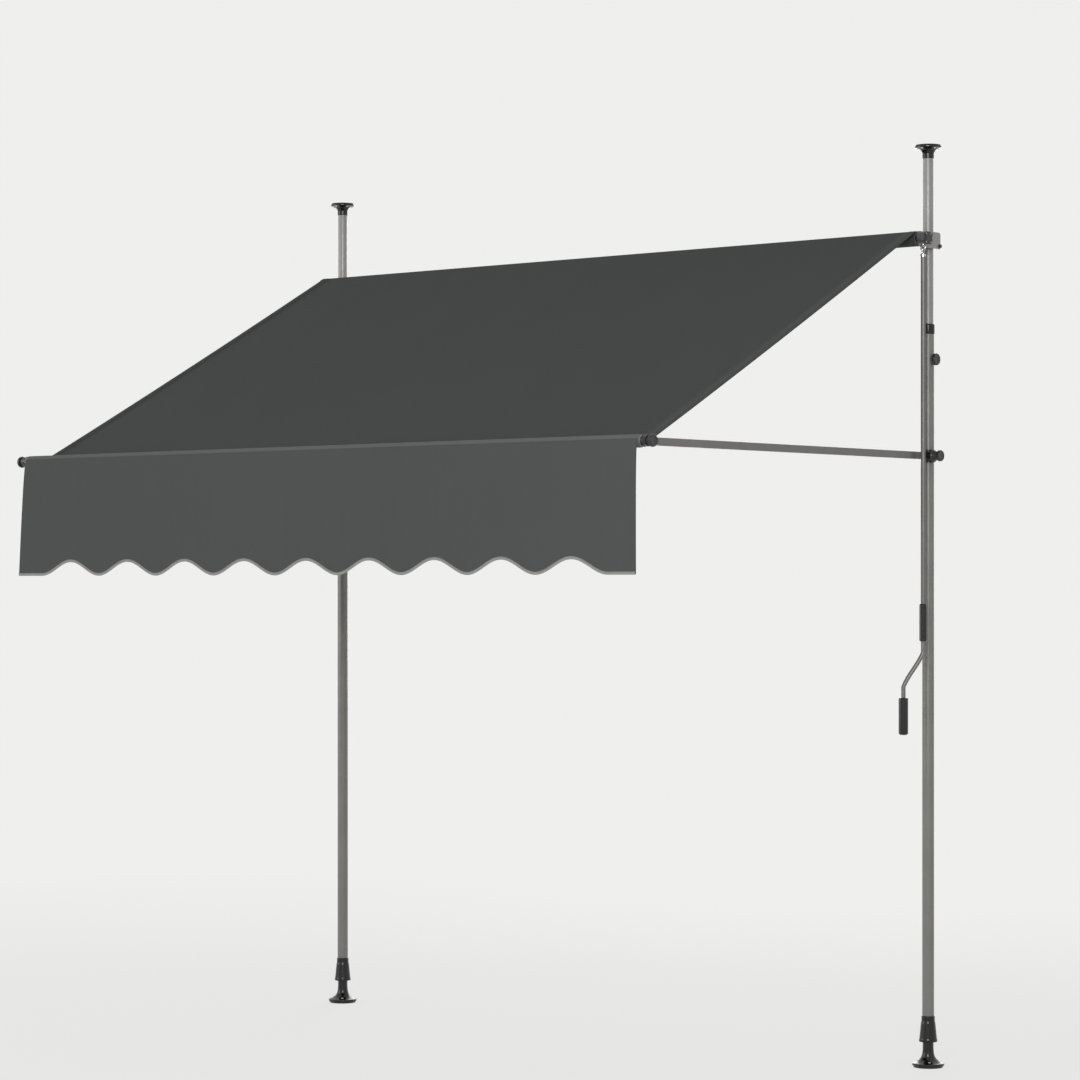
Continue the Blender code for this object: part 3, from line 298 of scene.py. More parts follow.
def moulded_nylon(name, dark, worn, roughness):
    """Glass-filled nylon from a polished mould: glossy, with faint 6 mm flow marks, a pebble of 0.9 mm and
    paler scuffs along its edges."""
    mat, tree, shader = new_material(name, dark, roughness, IOR=1.53, Specular_IOR_Level=0.3,
                                     Coat_Weight=0.2, Coat_Roughness=0.08)
    place = add(tree, "ShaderNodeTexCoord")
    pebble = add(tree, "ShaderNodeTexVoronoi", {"feature": "SMOOTH_F1"},
                 {"Scale": 1 / (0.9 * MM), "Smoothness": 0.8}, {"Vector": place.outputs["Object"]})
    flow = add(tree, "ShaderNodeTexNoise", values={"Scale": 1 / (6 * MM), "Detail": 3.0, "Roughness": 0.6},
               links={"Vector": place.outputs["Object"]})
    shape = add(tree, "ShaderNodeNewGeometry")
    edge = add(tree, "ShaderNodeMapRange", values={"From Min": 0.52, "From Max": 0.66},
               links={"Value": shape.outputs["Pointiness"]})
    scuff = add(tree, "ShaderNodeMath", {"operation": "MULTIPLY", "use_clamp": True},
                links={0: edge.outputs["Result"], 1: flow.outputs[0]})
    colour = add(tree, "ShaderNodeMix", {"data_type": "RGBA"}, {"A": srgb(dark), "B": srgb(worn)},
                 {"Factor": scuff.outputs[0]})
    gloss = add(tree, "ShaderNodeMapRange", values={"To Min": roughness - 0.06, "To Max": roughness + 0.1},
                links={"Value": flow.outputs[0]})
    bump = add(tree, "ShaderNodeBump", values={"Distance": 0.04 * MM, "Strength": 0.15},
               links={"Height": pebble.outputs["Distance"]})
    feed(tree, shader, Base_Color=colour.outputs["Result"], Roughness=gloss.outputs["Result"],
         Normal=bump.outputs["Normal"])
    return mat


def cast_rubber(name):
    """Natural rubber pad: dull black with a dusty bloom in 8 mm clouds."""
    mat, tree, shader = new_material(name, "#1a1a1a", 0.8)
    place = add(tree, "ShaderNodeTexCoord")
    bloom = add(tree, "ShaderNodeTexNoise", values={"Scale": 1 / (8 * MM), "Detail": 4.0, "Roughness": 0.7},
                links={"Vector": place.outputs["Object"]})
    colour = add(tree, "ShaderNodeMix", {"data_type": "RGBA"}, {"A": srgb("#141414"), "B": srgb("#2a2a29")},
                 {"Factor": bloom.outputs[0]})
    bump = add(tree, "ShaderNodeBump", values={"Distance": 0.2 * MM, "Strength": 0.4},
               links={"Height": bloom.outputs[0]})
    feed(tree, shader, Base_Color=colour.outputs["Result"], Normal=bump.outputs["Normal"])
    return mat


def zinc_plate(name):
    """Bright zinc-plated steel, drawn and then barrel plated: mirror-like with a soft 4 mm haze."""
    mat, tree, shader = new_material(name, "#b0b0ad", 0.16, 1.0)
    place = add(tree, "ShaderNodeTexCoord")
    haze = add(tree, "ShaderNodeTexNoise", values={"Scale": 1 / (4 * MM), "Detail": 3.0, "Roughness": 0.6},
               links={"Vector": place.outputs["Object"]})
    colour = add(tree, "ShaderNodeMix", {"data_type": "RGBA"}, {"A": srgb("#9b9b98"), "B": srgb("#c4c4c1")},
                 {"Factor": haze.outputs[0]})
    gloss = add(tree, "ShaderNodeMapRange", values={"To Min": 0.1, "To Max": 0.26},
                links={"Value": haze.outputs[0]})
    bump = add(tree, "ShaderNodeBump", values={"Distance": 0.03 * MM, "Strength": 0.25},
               links={"Height": haze.outputs[0]})
    feed(tree, shader, Base_Color=colour.outputs["Result"], Roughness=gloss.outputs["Result"],
         Normal=bump.outputs["Normal"])
    return mat


def hobbed_bronze(name):
    """Tin bronze with hobbed teeth: warm metal with cutter marks 0.35 mm apart."""
    mat, tree, shader = new_material(name, "#a5834f", 0.32, 1.0)
    place = add(tree, "ShaderNodeTexCoord")
    cuts = add(tree, "ShaderNodeTexWave", {"bands_direction": "X"},
               {"Scale": band_scale(0.35 * MM), "Distortion": 1.5}, {"Vector": place.outputs["Object"]})
    colour = add(tree, "ShaderNodeMix", {"data_type": "RGBA"}, {"A": srgb("#8f6f3f"), "B": srgb("#b8945a")},
                 {"Factor": cuts.outputs[1]})
    bump = add(tree, "ShaderNodeBump", values={"Distance": 0.03 * MM, "Strength": 0.3},
               links={"Height": cuts.outputs[1]})
    feed(tree, shader, Base_Color=colour.outputs["Result"], Normal=bump.outputs["Normal"])
    return mat


def woven_tape(name, dark, light):
    """Woven polyester binding tape: pale and dry, with cross ribs 0.8 mm apart drawn 1.6 mm apart so that
    they show, and grime in 70 mm patches."""
    mat, tree, shader = new_material(name, dark, 0.8, Sheen_Weight=0.15, Sheen_Roughness=0.4)
    uv = add(tree, "ShaderNodeUVMap", {"uv_map": "cloth"})
    ribs = add(tree, "ShaderNodeTexWave", {"bands_direction": "X"},
               {"Scale": band_scale(1.6 * MM), "Distortion": 0.5}, {"Vector": uv.outputs["UV"]})
    grime = add(tree, "ShaderNodeTexNoise", values={"Scale": 1 / (70 * MM), "Detail": 3.0},
                links={"Vector": uv.outputs["UV"]})
    shade = add(tree, "ShaderNodeMath", {"operation": "MULTIPLY_ADD"}, {1: 0.35},
                {0: ribs.outputs[1], 2: grime.outputs[0]})
    colour = add(tree, "ShaderNodeMix", {"data_type": "RGBA"}, {"A": srgb(dark), "B": srgb(light)},
                 {"Factor": shade.outputs[0]})
    bump = add(tree, "ShaderNodeBump", values={"Distance": 0.25 * MM, "Strength": 0.5},
               links={"Height": ribs.outputs[1]})
    feed(tree, shader, Base_Color=colour.outputs["Result"], Normal=bump.outputs["Normal"])
    return mat


def spun_thread(name, dark, light):
    """Twisted polyester sewing thread, a little shiny, with its plies 1.4 mm apart."""
    mat, tree, shader = new_material(name, dark, 0.55, Sheen_Weight=0.3)
    place = add(tree, "ShaderNodeTexCoord")
    ply = add(tree, "ShaderNodeTexNoise", values={"Scale": 1 / (1.4 * MM), "Detail": 2.0},
              links={"Vector": place.outputs["Object"]})
    colour = add(tree, "ShaderNodeMix", {"data_type": "RGBA"}, {"A": srgb(dark), "B": srgb(light)},
                 {"Factor": ply.outputs[0]})
    feed(tree, shader, Base_Color=colour.outputs["Result"])
    return mat


# One canvas in shaded and lit copies: the canopy and roll are written darker, as painted shade on the
# underside seen from below, and the valance paler, as painted light on its face
CANVAS = dyed_polyester_canvas("dyed_canvas", "#3f4140", "#454746")
VALANCE_CANVAS_PAINTED_LIGHT = dyed_polyester_canvas("dyed_canvas_valance_painted_light", "#4f5151", "#595b5b")
# The sleeve's canvas is paler still: a painted highlight for the light band along the top of the bar
SLEEVE_CANVAS_PAINTED_HIGHLIGHT = dyed_polyester_canvas("dyed_canvas_painted_highlight", "#646666", "#727473")
TAPE = woven_tape("woven_binding_tape", "#868682", "#a0a09c")
GREY_THREAD = spun_thread("grey_thread", "#585a59", "#747674")
DARK_THREAD = spun_thread("dark_thread", "#2c2d2d", "#3d3f3e")
LOWER_PAINT = powder_coated_steel("powder_coated_lower_posts", "#767471", "#8c8985", 0.4)
UPPER_PAINT = powder_coated_steel("powder_coated_upper_posts", "#8b8986", "#a5a3a0", 0.38)
ARM_PAINT = powder_coated_steel("powder_coated_arms", "#686663", "#7b7976", 0.4)
BLACK_NYLON = moulded_nylon("black_moulded_nylon", "#0f1010", "#303232", 0.18)
GREY_NYLON = moulded_nylon("grey_moulded_nylon", "#3e4040", "#616362", 0.32)
KNOB_NYLON = moulded_nylon("knob_moulded_nylon", "#2a2b2b", "#5a5a58", 0.3)
RUBBER = cast_rubber("cast_rubber")
ZINC = zinc_plate("bright_zinc_plate")
BRONZE = hobbed_bronze("hobbed_bronze")


# Mesh helpers

def finished(name, bm, mat, smooth_angle=35):
    """A bmesh made into a shown object with outward faces."""
    bmesh.ops.recalc_face_normals(bm, faces=bm.faces)
    mesh = bpy.data.meshes.new(name)
    bm.to_mesh(mesh)
    bm.free()
    mesh.materials.append(mat)
    mesh.shade_smooth()
    mesh.set_sharp_from_angle(angle=math.radians(smooth_angle))
    obj = bpy.data.objects.new(name, mesh)
    bpy.context.collection.objects.link(obj)
    return obj


def cloth_shell(name, grid, thick, mat, lengths):
    """A closed thin sheet from a grid of (point, normal); lengths gives each grid line's UV in metres."""
    bm = bmesh.new()
    uv_layer = bm.loops.layers.uv.new("cloth")
    sides = []
    for share in (0.5, -0.5):
        sides.append([[bm.verts.new(p + n * thick * share) for p, n in row] for row in grid])
    uv = {}
    rows = len(grid)
    columns = len(grid[0])
    for side in sides:
        for i in range(rows):
            for j in range(columns):
                uv[side[i][j]] = lengths(i, j)
    outer, inner = sides
    for i in range(rows - 1):
        for j in range(columns - 1):
            bm.faces.new((outer[i][j], outer[i][j + 1], outer[i + 1][j + 1], outer[i + 1][j]))
            bm.faces.new((inner[i][j], inner[i + 1][j], inner[i + 1][j + 1], inner[i][j + 1]))
    for i in range(rows - 1):
        for j in (0, columns - 1):
            bm.faces.new((outer[i][j], outer[i + 1][j], inner[i + 1][j], inner[i][j]))
    for j in range(columns - 1):
        for i in (0, rows - 1):
            bm.faces.new((outer[i][j], inner[i][j], inner[i][j + 1], outer[i][j + 1]))
    for face in bm.faces:
        for loop in face.loops:
            loop[uv_layer].uv = uv[loop.vert]
    return finished(name, bm, mat, 50)


def softened(profile, radius):
    """The closed (radius, height) profile with each corner rounded by a small arc of three steps."""
    steps = 3
    most = 0.45
    points = []
    for k, (r, h) in enumerate(profile):
        spot = Vector((r, h))
        before = Vector(profile[k - 1]) - spot
        after = Vector(profile[(k + 1) % len(profile)]) - spot
        if r <= 0 or min(before.length, after.length) < 1e-6:
            points.append((r, h))
            continue
        cut = min(radius, before.length * most, after.length * most)
        start = spot + before.normalized() * cut
        end = spot + after.normalized() * cut
        for i in range(steps + 1):
            t = i / steps
            p = start * (1 - t) ** 2 + spot * 2 * t * (1 - t) + end * t ** 2
            points.append((p.x, p.y))
    return points


def turned(name, profile, place, mat, lobes=0, depth=0.0, lobed=(0, 0)):
    """A round piece from a (radius, height) profile about Z, with shallow lobes between two heights."""
    bm = bmesh.new()
    rings = []
    for radius, height in profile:
        if radius <= 0:
            rings.append([bm.verts.new(place @ Vector((0, 0, height)))])
            continue
        ring = []
        for i in range(ROUND):
            angle = 2 * math.pi * i / ROUND
            cut = depth * (0.5 - 0.5 * math.cos(lobes * angle)) if lobed[0] <= height <= lobed[1] else 0
            spot = Vector(((radius - cut) * math.cos(angle), (radius - cut) * math.sin(angle), height))
            ring.append(bm.verts.new(place @ spot))
        rings.append(ring)
    for low, high in zip(rings, rings[1:] + rings[:1]):
        if len(low) == 1 and len(high) == 1:
            continue
        for i in range(ROUND):
            j = (i + 1) % ROUND
            if len(low) == 1:
                bm.faces.new((low[0], high[i], high[j]))
            elif len(high) == 1:
                bm.faces.new((low[i], low[j], high[0]))
            else:
                bm.faces.new((low[i], low[j], high[j], high[i]))
    return finished(name, bm, mat)


def joined(bm, rings):
    """Faces between rings of the same number of points, with a cap on the first and the last."""
    for low, high in zip(rings, rings[1:]):
        for i in range(len(low)):
            j = (i + 1) % len(low)
            bm.faces.new((low[i], low[j], high[j], high[i]))
    bm.faces.new(rings[0])
    bm.faces.new(rings[-1][::-1])


def stands_for(piece, node):
    """The piece takes the node's place, on the body that carries it."""
    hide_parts(node)
    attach(piece, frame["nodes"][node]["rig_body"])


def new_tree(name, result, **inputs):
    """A Geometry Nodes tree with named inputs of these kinds, one geometry output, and its input sockets."""
    tree = bpy.data.node_groups.new(name, "GeometryNodeTree")
    for label, kind in inputs.items():
        tree.interface.new_socket(label.replace("_", " "), in_out="INPUT", socket_type="NodeSocket" + kind)
    tree.interface.new_socket(result, in_out="OUTPUT", socket_type="NodeSocketGeometry")
    return tree, add(tree, "NodeGroupInput").outputs


def grown(name, source, tree, settings):
    """The plain mesh that a Geometry Nodes tree makes from a source object, with its inputs by name."""
    modifier = source.modifiers.new(tree.name, "NODES")
    modifier.node_group = tree
    sockets = {item.name: item.identifier for item in tree.interface.items_tree if item.in_out == "INPUT"}
    for socket, value in settings.items():
        modifier[sockets[socket]] = value
    bpy.context.view_layer.update()
    mesh = bpy.data.meshes.new_from_object(source.evaluated_get(bpy.context.evaluated_depsgraph_get()))
    bpy.data.objects.remove(source)
    piece = bpy.data.objects.new(name, mesh)
    bpy.context.collection.objects.link(piece)
    return piece


# Canopy: one curved sheet from the top of the roll to the underside of the bar's sleeve

def canopy_frame():
    """Where the sheet leaves the roll, where it meets the sleeve, and the direction that it faces."""
    roll = ROLL_R + CLOTH_THICK
    bar = SLEEVE_R + CLOTH_THICK
    run = ROLL_Y - BAR_Y
    fall = ROLL_Z - BAR_Z
    slope = math.atan2(fall, run) + math.asin((roll + bar) / math.hypot(run, fall))
    lean = Vector((0, -math.sin(slope), math.cos(slope)))
    start = Vector((0, ROLL_Y, ROLL_Z)) + lean * (ROLL_R + CLOTH_SEAT)
    end = Vector((0, BAR_Y, BAR_Z)) - lean * (SLEEVE_R + CLOTH_SEAT)
    return start, end, lean


CANOPY_START, CANOPY_END, CANOPY_LEAN = canopy_frame()
CANOPY_LENGTH = (CANOPY_END - CANOPY_START).length


def canopy_point(share, t, lift=0.0):
    """A point of the sheet: share runs from -1 to 1 across it, t from the roll to the bar."""
    half = CLOTH_HALF - ROLL_EDGE - (CANOPY_DRAW_IN - ROLL_EDGE) * t
    slack = 4 * t * (1 - t)
    sag = CANOPY_SAG * slack * (1 - (1 - CANOPY_EDGE_SAG) * share ** 2)
    inside = 1 - share ** 8
    wander = 1.5 * math.sin(t * 4)
    ripple = CANOPY_RIPPLE * math.sin(share * half * CANOPY_WAVES + wander) * slack * inside
    spot = CANOPY_START.lerp(CANOPY_END, t) + CANOPY_LEAN * (lift - sag + ripple)
    return Vector((share * half, spot.y, spot.z))


def canopy_stations():
    """Distances across the cloth from its left edge, close together where a hem is folded back."""
    hem = [0.0, HEM_STEP, HEM_WIDTH - HEM_STEP, HEM_WIDTH]
    plain = 2 * CLOTH_HALF - 2 * HEM_WIDTH
    middle = [HEM_WIDTH + plain * k / CANOPY_COLUMNS for k in range(1, CANOPY_COLUMNS)]
    return hem + middle + [2 * CLOTH_HALF - d for d in reversed(hem)]


def make_canopy():
    """The sheet, twice as thick in its side hems."""
    across = canopy_stations()
    grid = []
    for i in range(CANOPY_ROWS + 1):
        row = []
        for distance in across:
            edge = min(distance, 2 * CLOTH_HALF - distance)
            plies = 2.0 if edge < HEM_WIDTH - HEM_STEP / 2 else 1.0
            row.append((canopy_point(distance / CLOTH_HALF - 1, i / CANOPY_ROWS), CANOPY_LEAN * plies))
        grid.append(row)
    sheet = cloth_shell("canopy_sheet", grid, CLOTH_THICK, CANVAS,
                        lambda i, j: (across[j], i / CANOPY_ROWS * CANOPY_LENGTH))
    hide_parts("canopy")
    return sheet


# Roll: cloth wound in a spiral on the tube

def make_roll():
    """A strip with the section of a spiral, which ends where the canopy leaves the roll."""
    bm = bmesh.new()
    uv_layer = bm.loops.layers.uv.new("cloth")
    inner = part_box("roller_tube")[1].z - ROLL_Z + FIT
    rise = (ROLL_R - inner - CLOTH_THICK) / ROLL_TURNS
    lean_angle = math.atan2(CANOPY_LEAN.z, CANOPY_LEAN.y)
    last = ROLL_TURNS * ROLL_STEPS
    half = CLOTH_HALF - ROLL_EDGE
    stations = [-half, -half * 0.6, 0, half * 0.6, half]
    verts = {}
    for s, x in enumerate(stations):
        for k in range(last + 1):
            a = lean_angle - 2 * math.pi * (last - k) / ROLL_STEPS
            for layer, extra in enumerate((0, rise * ROLL_LAYER)):
                r = inner + rise * k / ROLL_STEPS + extra
                verts[s, k, layer] = bm.verts.new((x, ROLL_Y + r * math.cos(a), ROLL_Z + r * math.sin(a)))

    def face(keys, along):
        made = bm.faces.new([verts[key] for key in keys])
        for loop, (s, k, layer) in zip(made.loops, keys):
            wound = k / ROLL_STEPS * 2 * math.pi * ROLL_R if along else layer * MM
            loop[uv_layer].uv = (stations[s], wound)

    for s in range(len(stations) - 1):
        for k in range(last):
            for layer in (0, 1):
                face([(s, k, layer), (s + 1, k, layer), (s + 1, k + 1, layer), (s, k + 1, layer)], True)
        for k in (0, last):
            face([(s, k, 0), (s + 1, k, 0), (s + 1, k, 1), (s, k, 1)], False)
    for s in (0, len(stations) - 1):
        for k in range(last):
            face([(s, k, 0), (s, k + 1, 0), (s, k + 1, 1), (s, k, 1)], False)
    roll = finished("wound_cloth", bm, CANVAS, 40)
    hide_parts("fabric_roll")
    return roll


# Sleeve of the front bar and the valance sewn to its front

def make_sleeve():
    """The hem pocket round the front bar, with fine puckers across it."""
    bm = bmesh.new()
    uv_layer = bm.loops.layers.uv.new("cloth")
    inside = SLEEVE_R - SLEEVE_CLOTH
    outside = SLEEVE_R - PUCKER
    rings = []
    for radius in (outside, inside):
        layer = []
        for j in range(SLEEVE_COLUMNS + 1):
            x = (j / SLEEVE_COLUMNS * 2 - 1) * CLOTH_HALF
            ring = []
            for i in range(SLEEVE_ROUND):
                a = 2 * math.pi * i / SLEEVE_ROUND
                r = radius
                if radius == outside:
                    r += PUCKER * math.sin(x * SLEEVE_WAVES + 3 * math.sin(2 * a))
                ring.append(bm.verts.new((x, BAR_Y + r * math.cos(a), BAR_Z + r * math.sin(a))))
            layer.append(ring)
        rings.append(layer)
    outer, inner = rings
    for j in range(SLEEVE_COLUMNS):
        for i in range(SLEEVE_ROUND):
            corners = [(j, i), (j + 1, i), (j + 1, i + 1), (j, i + 1)]
            for shell in (outer, inner):
                made = bm.faces.new([shell[a][b % SLEEVE_ROUND] for a, b in corners])
                for loop, (a, b) in zip(made.loops, corners):
                    loop[uv_layer].uv = (a / SLEEVE_COLUMNS * 2 * CLOTH_HALF,
                                         b / SLEEVE_ROUND * 2 * math.pi * SLEEVE_R)
    for j in (0, SLEEVE_COLUMNS):
        for i in range(SLEEVE_ROUND):
            n = (i + 1) % SLEEVE_ROUND
            bm.faces.new((outer[j][i], outer[j][n], inner[j][n], inner[j][i]))
    sleeve = finished("bar_sleeve_cloth", bm, SLEEVE_CANVAS_PAINTED_HIGHLIGHT, 40)
    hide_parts("bar_sleeve")
    return sleeve


def scallop(x):
    """Height of the valance's cut edge above its lowest points."""
    waves = NOTCHES * NOTCH_PITCH
    if abs(x) >= waves / 2:
        return 0.0
    return NOTCH_DEPTH * math.sin(math.pi * (x / NOTCH_PITCH + NOTCHES / 2)) ** 2


def valance_point(x, z):
    """Cloth that leans forward off the sleeve, hangs in slow folds and reaches out at its left corner."""
    depth = min(1.0, max(0.0, (VALANCE_TOP - z) / VALANCE_HEIGHT))
    forward = VALANCE_FORWARD * (1 - math.exp(-6 * depth))
    waves = SLOW_FOLD * math.sin(x * SLOW_WAVES + 0.7) + SMALL_FOLD * math.sin(x * SMALL_WAVES + 2.1)
    folds = waves * depth ** 1.5
    corner = math.exp(-(x + CLOTH_HALF) / CORNER_REACH) * depth
    return Vector((x - CORNER_OUT * corner, VALANCE_Y - forward + folds - CORNER_FORWARD * corner, z))


def make_valance():
    """The hanging sheet, whose foot ends inside the binding."""
    grid = []
    for i in range(VALANCE_ROWS + 1):
        row = []
        for j in range(VALANCE_COLUMNS + 1):
            x = (j / VALANCE_COLUMNS * 2 - 1) * CLOTH_HALF
            foot = VALANCE_BOTTOM + scallop(x) + BINDING_COVER
            z = VALANCE_TOP + (foot - VALANCE_TOP) * i / VALANCE_ROWS
            row.append((valance_point(x, z), FRONT))
        grid.append(row)
    sheet = cloth_shell("valance_sheet", grid, CLOTH_THICK, VALANCE_CANVAS_PAINTED_LIGHT,
                        lambda i, j: (j / VALANCE_COLUMNS * 2 * CLOTH_HALF,
                                      i / VALANCE_ROWS * VALANCE_HEIGHT))
    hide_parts("valance")
    return sheet


def edge_path(rise):
    """Points along the valance's cut edge, a set distance above it, with even spacing."""
    points = []
    count = int(2 * CLOTH_HALF / EDGE_SAMPLE)
    for k in range(count + 1):
        x = -CLOTH_HALF + 2 * CLOTH_HALF * k / count
        slope = (scallop(x + MM) - scallop(x - MM)) / (2 * MM)
        length = math.hypot(1, slope)
        z = VALANCE_BOTTOM + scallop(x) + rise / length
        x = max(-CLOTH_HALF, min(CLOTH_HALF, x - rise * slope / length))
        points.append(valance_point(x, z))
    kept = [points[0]]
    for p in points[1:]:
        if (p - kept[-1]).length >= EDGE_STEP:
            kept.append(p)
    return kept


def make_binding():
    """Tape folded over the cut edge, front and back, with a soft rounded fold."""
    bm = bmesh.new()
    uv_layer = bm.loops.layers.uv.new("cloth")
    lower = edge_path(0.0)
    # Shares of the tape's half thickness, and heights above the fold
    section = [(-0.7, BINDING_HEIGHT), (-1.0, BINDING_HEIGHT - 0.7 * MM), (-1.0, 1.2 * MM), (-0.7, 0.3 * MM),
               (0, 0.0), (0.7, 0.3 * MM), (1.0, 1.2 * MM), (1.0, BINDING_HEIGHT - 0.7 * MM),
               (0.7, BINDING_HEIGHT)]
    rings = []
    along = 0.0
    lengths = []
    for k, p in enumerate(lower):
        ahead = lower[min(k + 1, len(lower) - 1)] - lower[max(k - 1, 0)]
        ahead.normalize()
        up = Vector((-ahead.z, 0, ahead.x)).normalized()
        if k:
            along += (p - lower[k - 1]).length
        lengths.append(along)
        rings.append([bm.verts.new(p + up * rise + Vector((0, across * BINDING_HALF, 0)))
                      for across, rise in section])
    count = len(section)
    for k in range(len(rings) - 1):
        for i in range(count):
            n = (i + 1) % count
            made = bm.faces.new((rings[k][i], rings[k][n], rings[k + 1][n], rings[k + 1][i]))
            marks = ((lengths[k], i), (lengths[k], i + 1), (lengths[k + 1], i + 1), (lengths[k + 1], i))
            for loop, (u, v) in zip(made.loops, marks):
                loop[uv_layer].uv = (u, v * 1.5 * MM)
    bm.faces.new(rings[0])
    bm.faces.new(rings[-1][::-1])
    tape = finished("valance_binding_tape", bm, TAPE, 60)
    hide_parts("valance_binding")
    return tape


# Stitches: short threads laid along a path by Geometry Nodes

def stitch_mesh():
    """One stitch: a six-sided thread along X with pinched ends."""
    sides = 6
    bm = bmesh.new()
    rings = []
    for x, r in ((-0.5, 0.35), (-0.3, 1.0), (0.3, 1.0), (0.5, 0.35)):
        ring = []
        for i in range(sides):
            a = 2 * math.pi * i / sides
            spot = (x * STITCH_LENGTH, r * THREAD_R * math.cos(a), r * THREAD_R * math.sin(a))
            ring.append(bm.verts.new(spot))
        rings.append(ring)
    joined(bm, rings)
    stitch = finished("one_stitch", bm, GREY_THREAD, 80)
    stitch.hide_render = True
    return stitch


def stitching_tree():
    """Spaces stitches along the input curve, lies each along it, and bakes them to a mesh."""
    tree, given = new_tree("stitching", "Stitches", Path="Geometry", Stitch="Object", Spacing="Float",
                           Thread="Material")
    points = add(tree, "GeometryNodeCurveToPoints", {"mode": "LENGTH"},
                 links={"Curve": given["Path"], "Length": given["Spacing"]})
    turn = add(tree, "FunctionNodeAlignRotationToVector", {"axis": "X"},
               links={"Vector": points.outputs["Tangent"]})
    one = add(tree, "GeometryNodeObjectInfo", {"transform_space": "ORIGINAL"},
              links={"Object": given["Stitch"]})
    laid = add(tree, "GeometryNodeInstanceOnPoints",
               links={"Points": points.outputs["Points"], "Instance": one.outputs["Geometry"],
                      "Rotation": turn.outputs["Rotation"]})
    real = add(tree, "GeometryNodeRealizeInstances", links={"Geometry": laid.outputs["Instances"]})
    painted = add(tree, "GeometryNodeSetMaterial",
                  links={"Geometry": real.outputs["Geometry"], "Material": given["Thread"]})
    add(tree, "NodeGroupOutput", links={"Stitches": painted.outputs["Geometry"]})
    return tree


STITCH = stitch_mesh()
STITCHING = stitching_tree()


def sewn(name, paths, thread):
    """Stitches along each path of points, as one plain mesh."""
    data = bpy.data.curves.new(name + "_path", "CURVE")
    data.dimensions = "3D"
    for path in paths:
        spline = data.splines.new("POLY")
        spline.points.add(len(path) - 1)
        for point, place in zip(spline.points, path):
            point.co = (*place, 1)
    guide = bpy.data.objects.new(name + "_path", data)
    bpy.context.collection.objects.link(guide)
    return grown(name, guide, STITCHING, {"Stitch": STITCH, "Spacing": STITCH_LENGTH + STITCH_GAP,
                                          "Thread": thread})


def sew_canopy_hems():
    """Two rows along each side hem, on both faces of the canopy."""
    steps = 160
    rows = []
    for side in SIDES.values():
        for inset in (HEM_STITCH_INSET, HEM_WIDTH - HEM_STITCH_INSET):
            share = side * (1 - inset / CLOTH_HALF)
            for lift in (-CLOTH_THICK, CLOTH_THICK):
                rows.append([canopy_point(share, k / steps, lift) for k in range(steps + 1)])
    return sewn("canopy_hem_stitches", rows, DARK_THREAD)


def sew_binding():
    """A row on both faces of the binding, a little below its upper edge."""
    path = edge_path(BINDING_HEIGHT - BINDING_STITCH_DROP)
    rows = [[p + Vector((0, face * BINDING_HALF, 0)) for p in path] for face in (-1, 1)]
    return sewn("binding_stitches", rows, GREY_THREAD)


def sew_valance_seam():
    """The row that holds the valance to the sleeve."""
    steps = 200
    row = []
    for k in range(steps + 1):
        x = (k / steps * 2 - 1) * (CLOTH_HALF - SEAM_INSET)
        row.append(valance_point(x, VALANCE_TOP - SEAM_INSET) + FRONT * CLOTH_THICK * 0.5)
    return sewn("valance_seam_stitches", [row], DARK_THREAD)


canopy = make_canopy()
roll = make_roll()
sleeve = make_sleeve()
valance = make_valance()
binding = make_binding()
hem_stitches = sew_canopy_hems()
binding_stitches = sew_binding()
valance_seam = sew_valance_seam()
bpy.data.objects.remove(STITCH)


# Turned pieces in the place of their faceted solids

def tube(name, node, mat, along="Z"):
    """A round tube with slightly eased ends, along Z or X, in the place of its node."""
    low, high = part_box(node)
    turn = Matrix.Rotation(math.radians(90), 4, "Y") if along == "X" else Matrix()
    radius = (high.y - low.y) / 2
    half = (high.x - low.x if along == "X" else high.z - low.z) / 2
    wall = [(radius, -half), (radius, half), (radius - TUBE_WALL, half), (radius - TUBE_WALL, -half)]
    place = Matrix.Translation((low + high) / 2) @ turn
    stands_for(turned(name, softened(wall, 0.4 * MM), place, mat), node)


def trumpet(neck, rim, start, fall, length):
    """Points of a flared skirt from its rim to its neck; fall is the height in which it narrows by e."""
    steps = 16
    points = []
    for k in range(1, steps + 1):
        height = length * (k / steps) ** 1.6
        radius = neck + (rim - neck) * math.exp(-height / abs(fall))
        points.append((radius, start + math.copysign(height, fall)))
    return points


def make_foot(side_name, post):
    """Foot disc with its flared skirt and stud. Returns the skirt's height at the ring of screws."""
    low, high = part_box(f"foot_disc_{side_name}")
    rim_r = (high.x - low.x) / 2
    rim_top = low.z + FOOT_RIM
    neck_top = high.z - STUD_LENGTH
    disc = softened([(0, low.z), (rim_r - 2 * MM, low.z), (rim_r, low.z + 2.5 * MM), (rim_r, rim_top)],
                    1.5 * MM)
    disc += trumpet(FOOT_NECK_R, rim_r, rim_top, FOOT_FALL, FOOT_SKIRT)
    disc += softened([(FOOT_NECK_R, neck_top), (STUD_R, neck_top), (STUD_R, high.z), (0, high.z)], 0.5 * MM)
    stands_for(turned(f"foot_{side_name}", disc, post, BLACK_NYLON), f"foot_disc_{side_name}")
    return rim_top + FOOT_FALL * math.log((rim_r - FOOT_NECK_R) / (FOOT_SCREW_CIRCLE - FOOT_NECK_R))


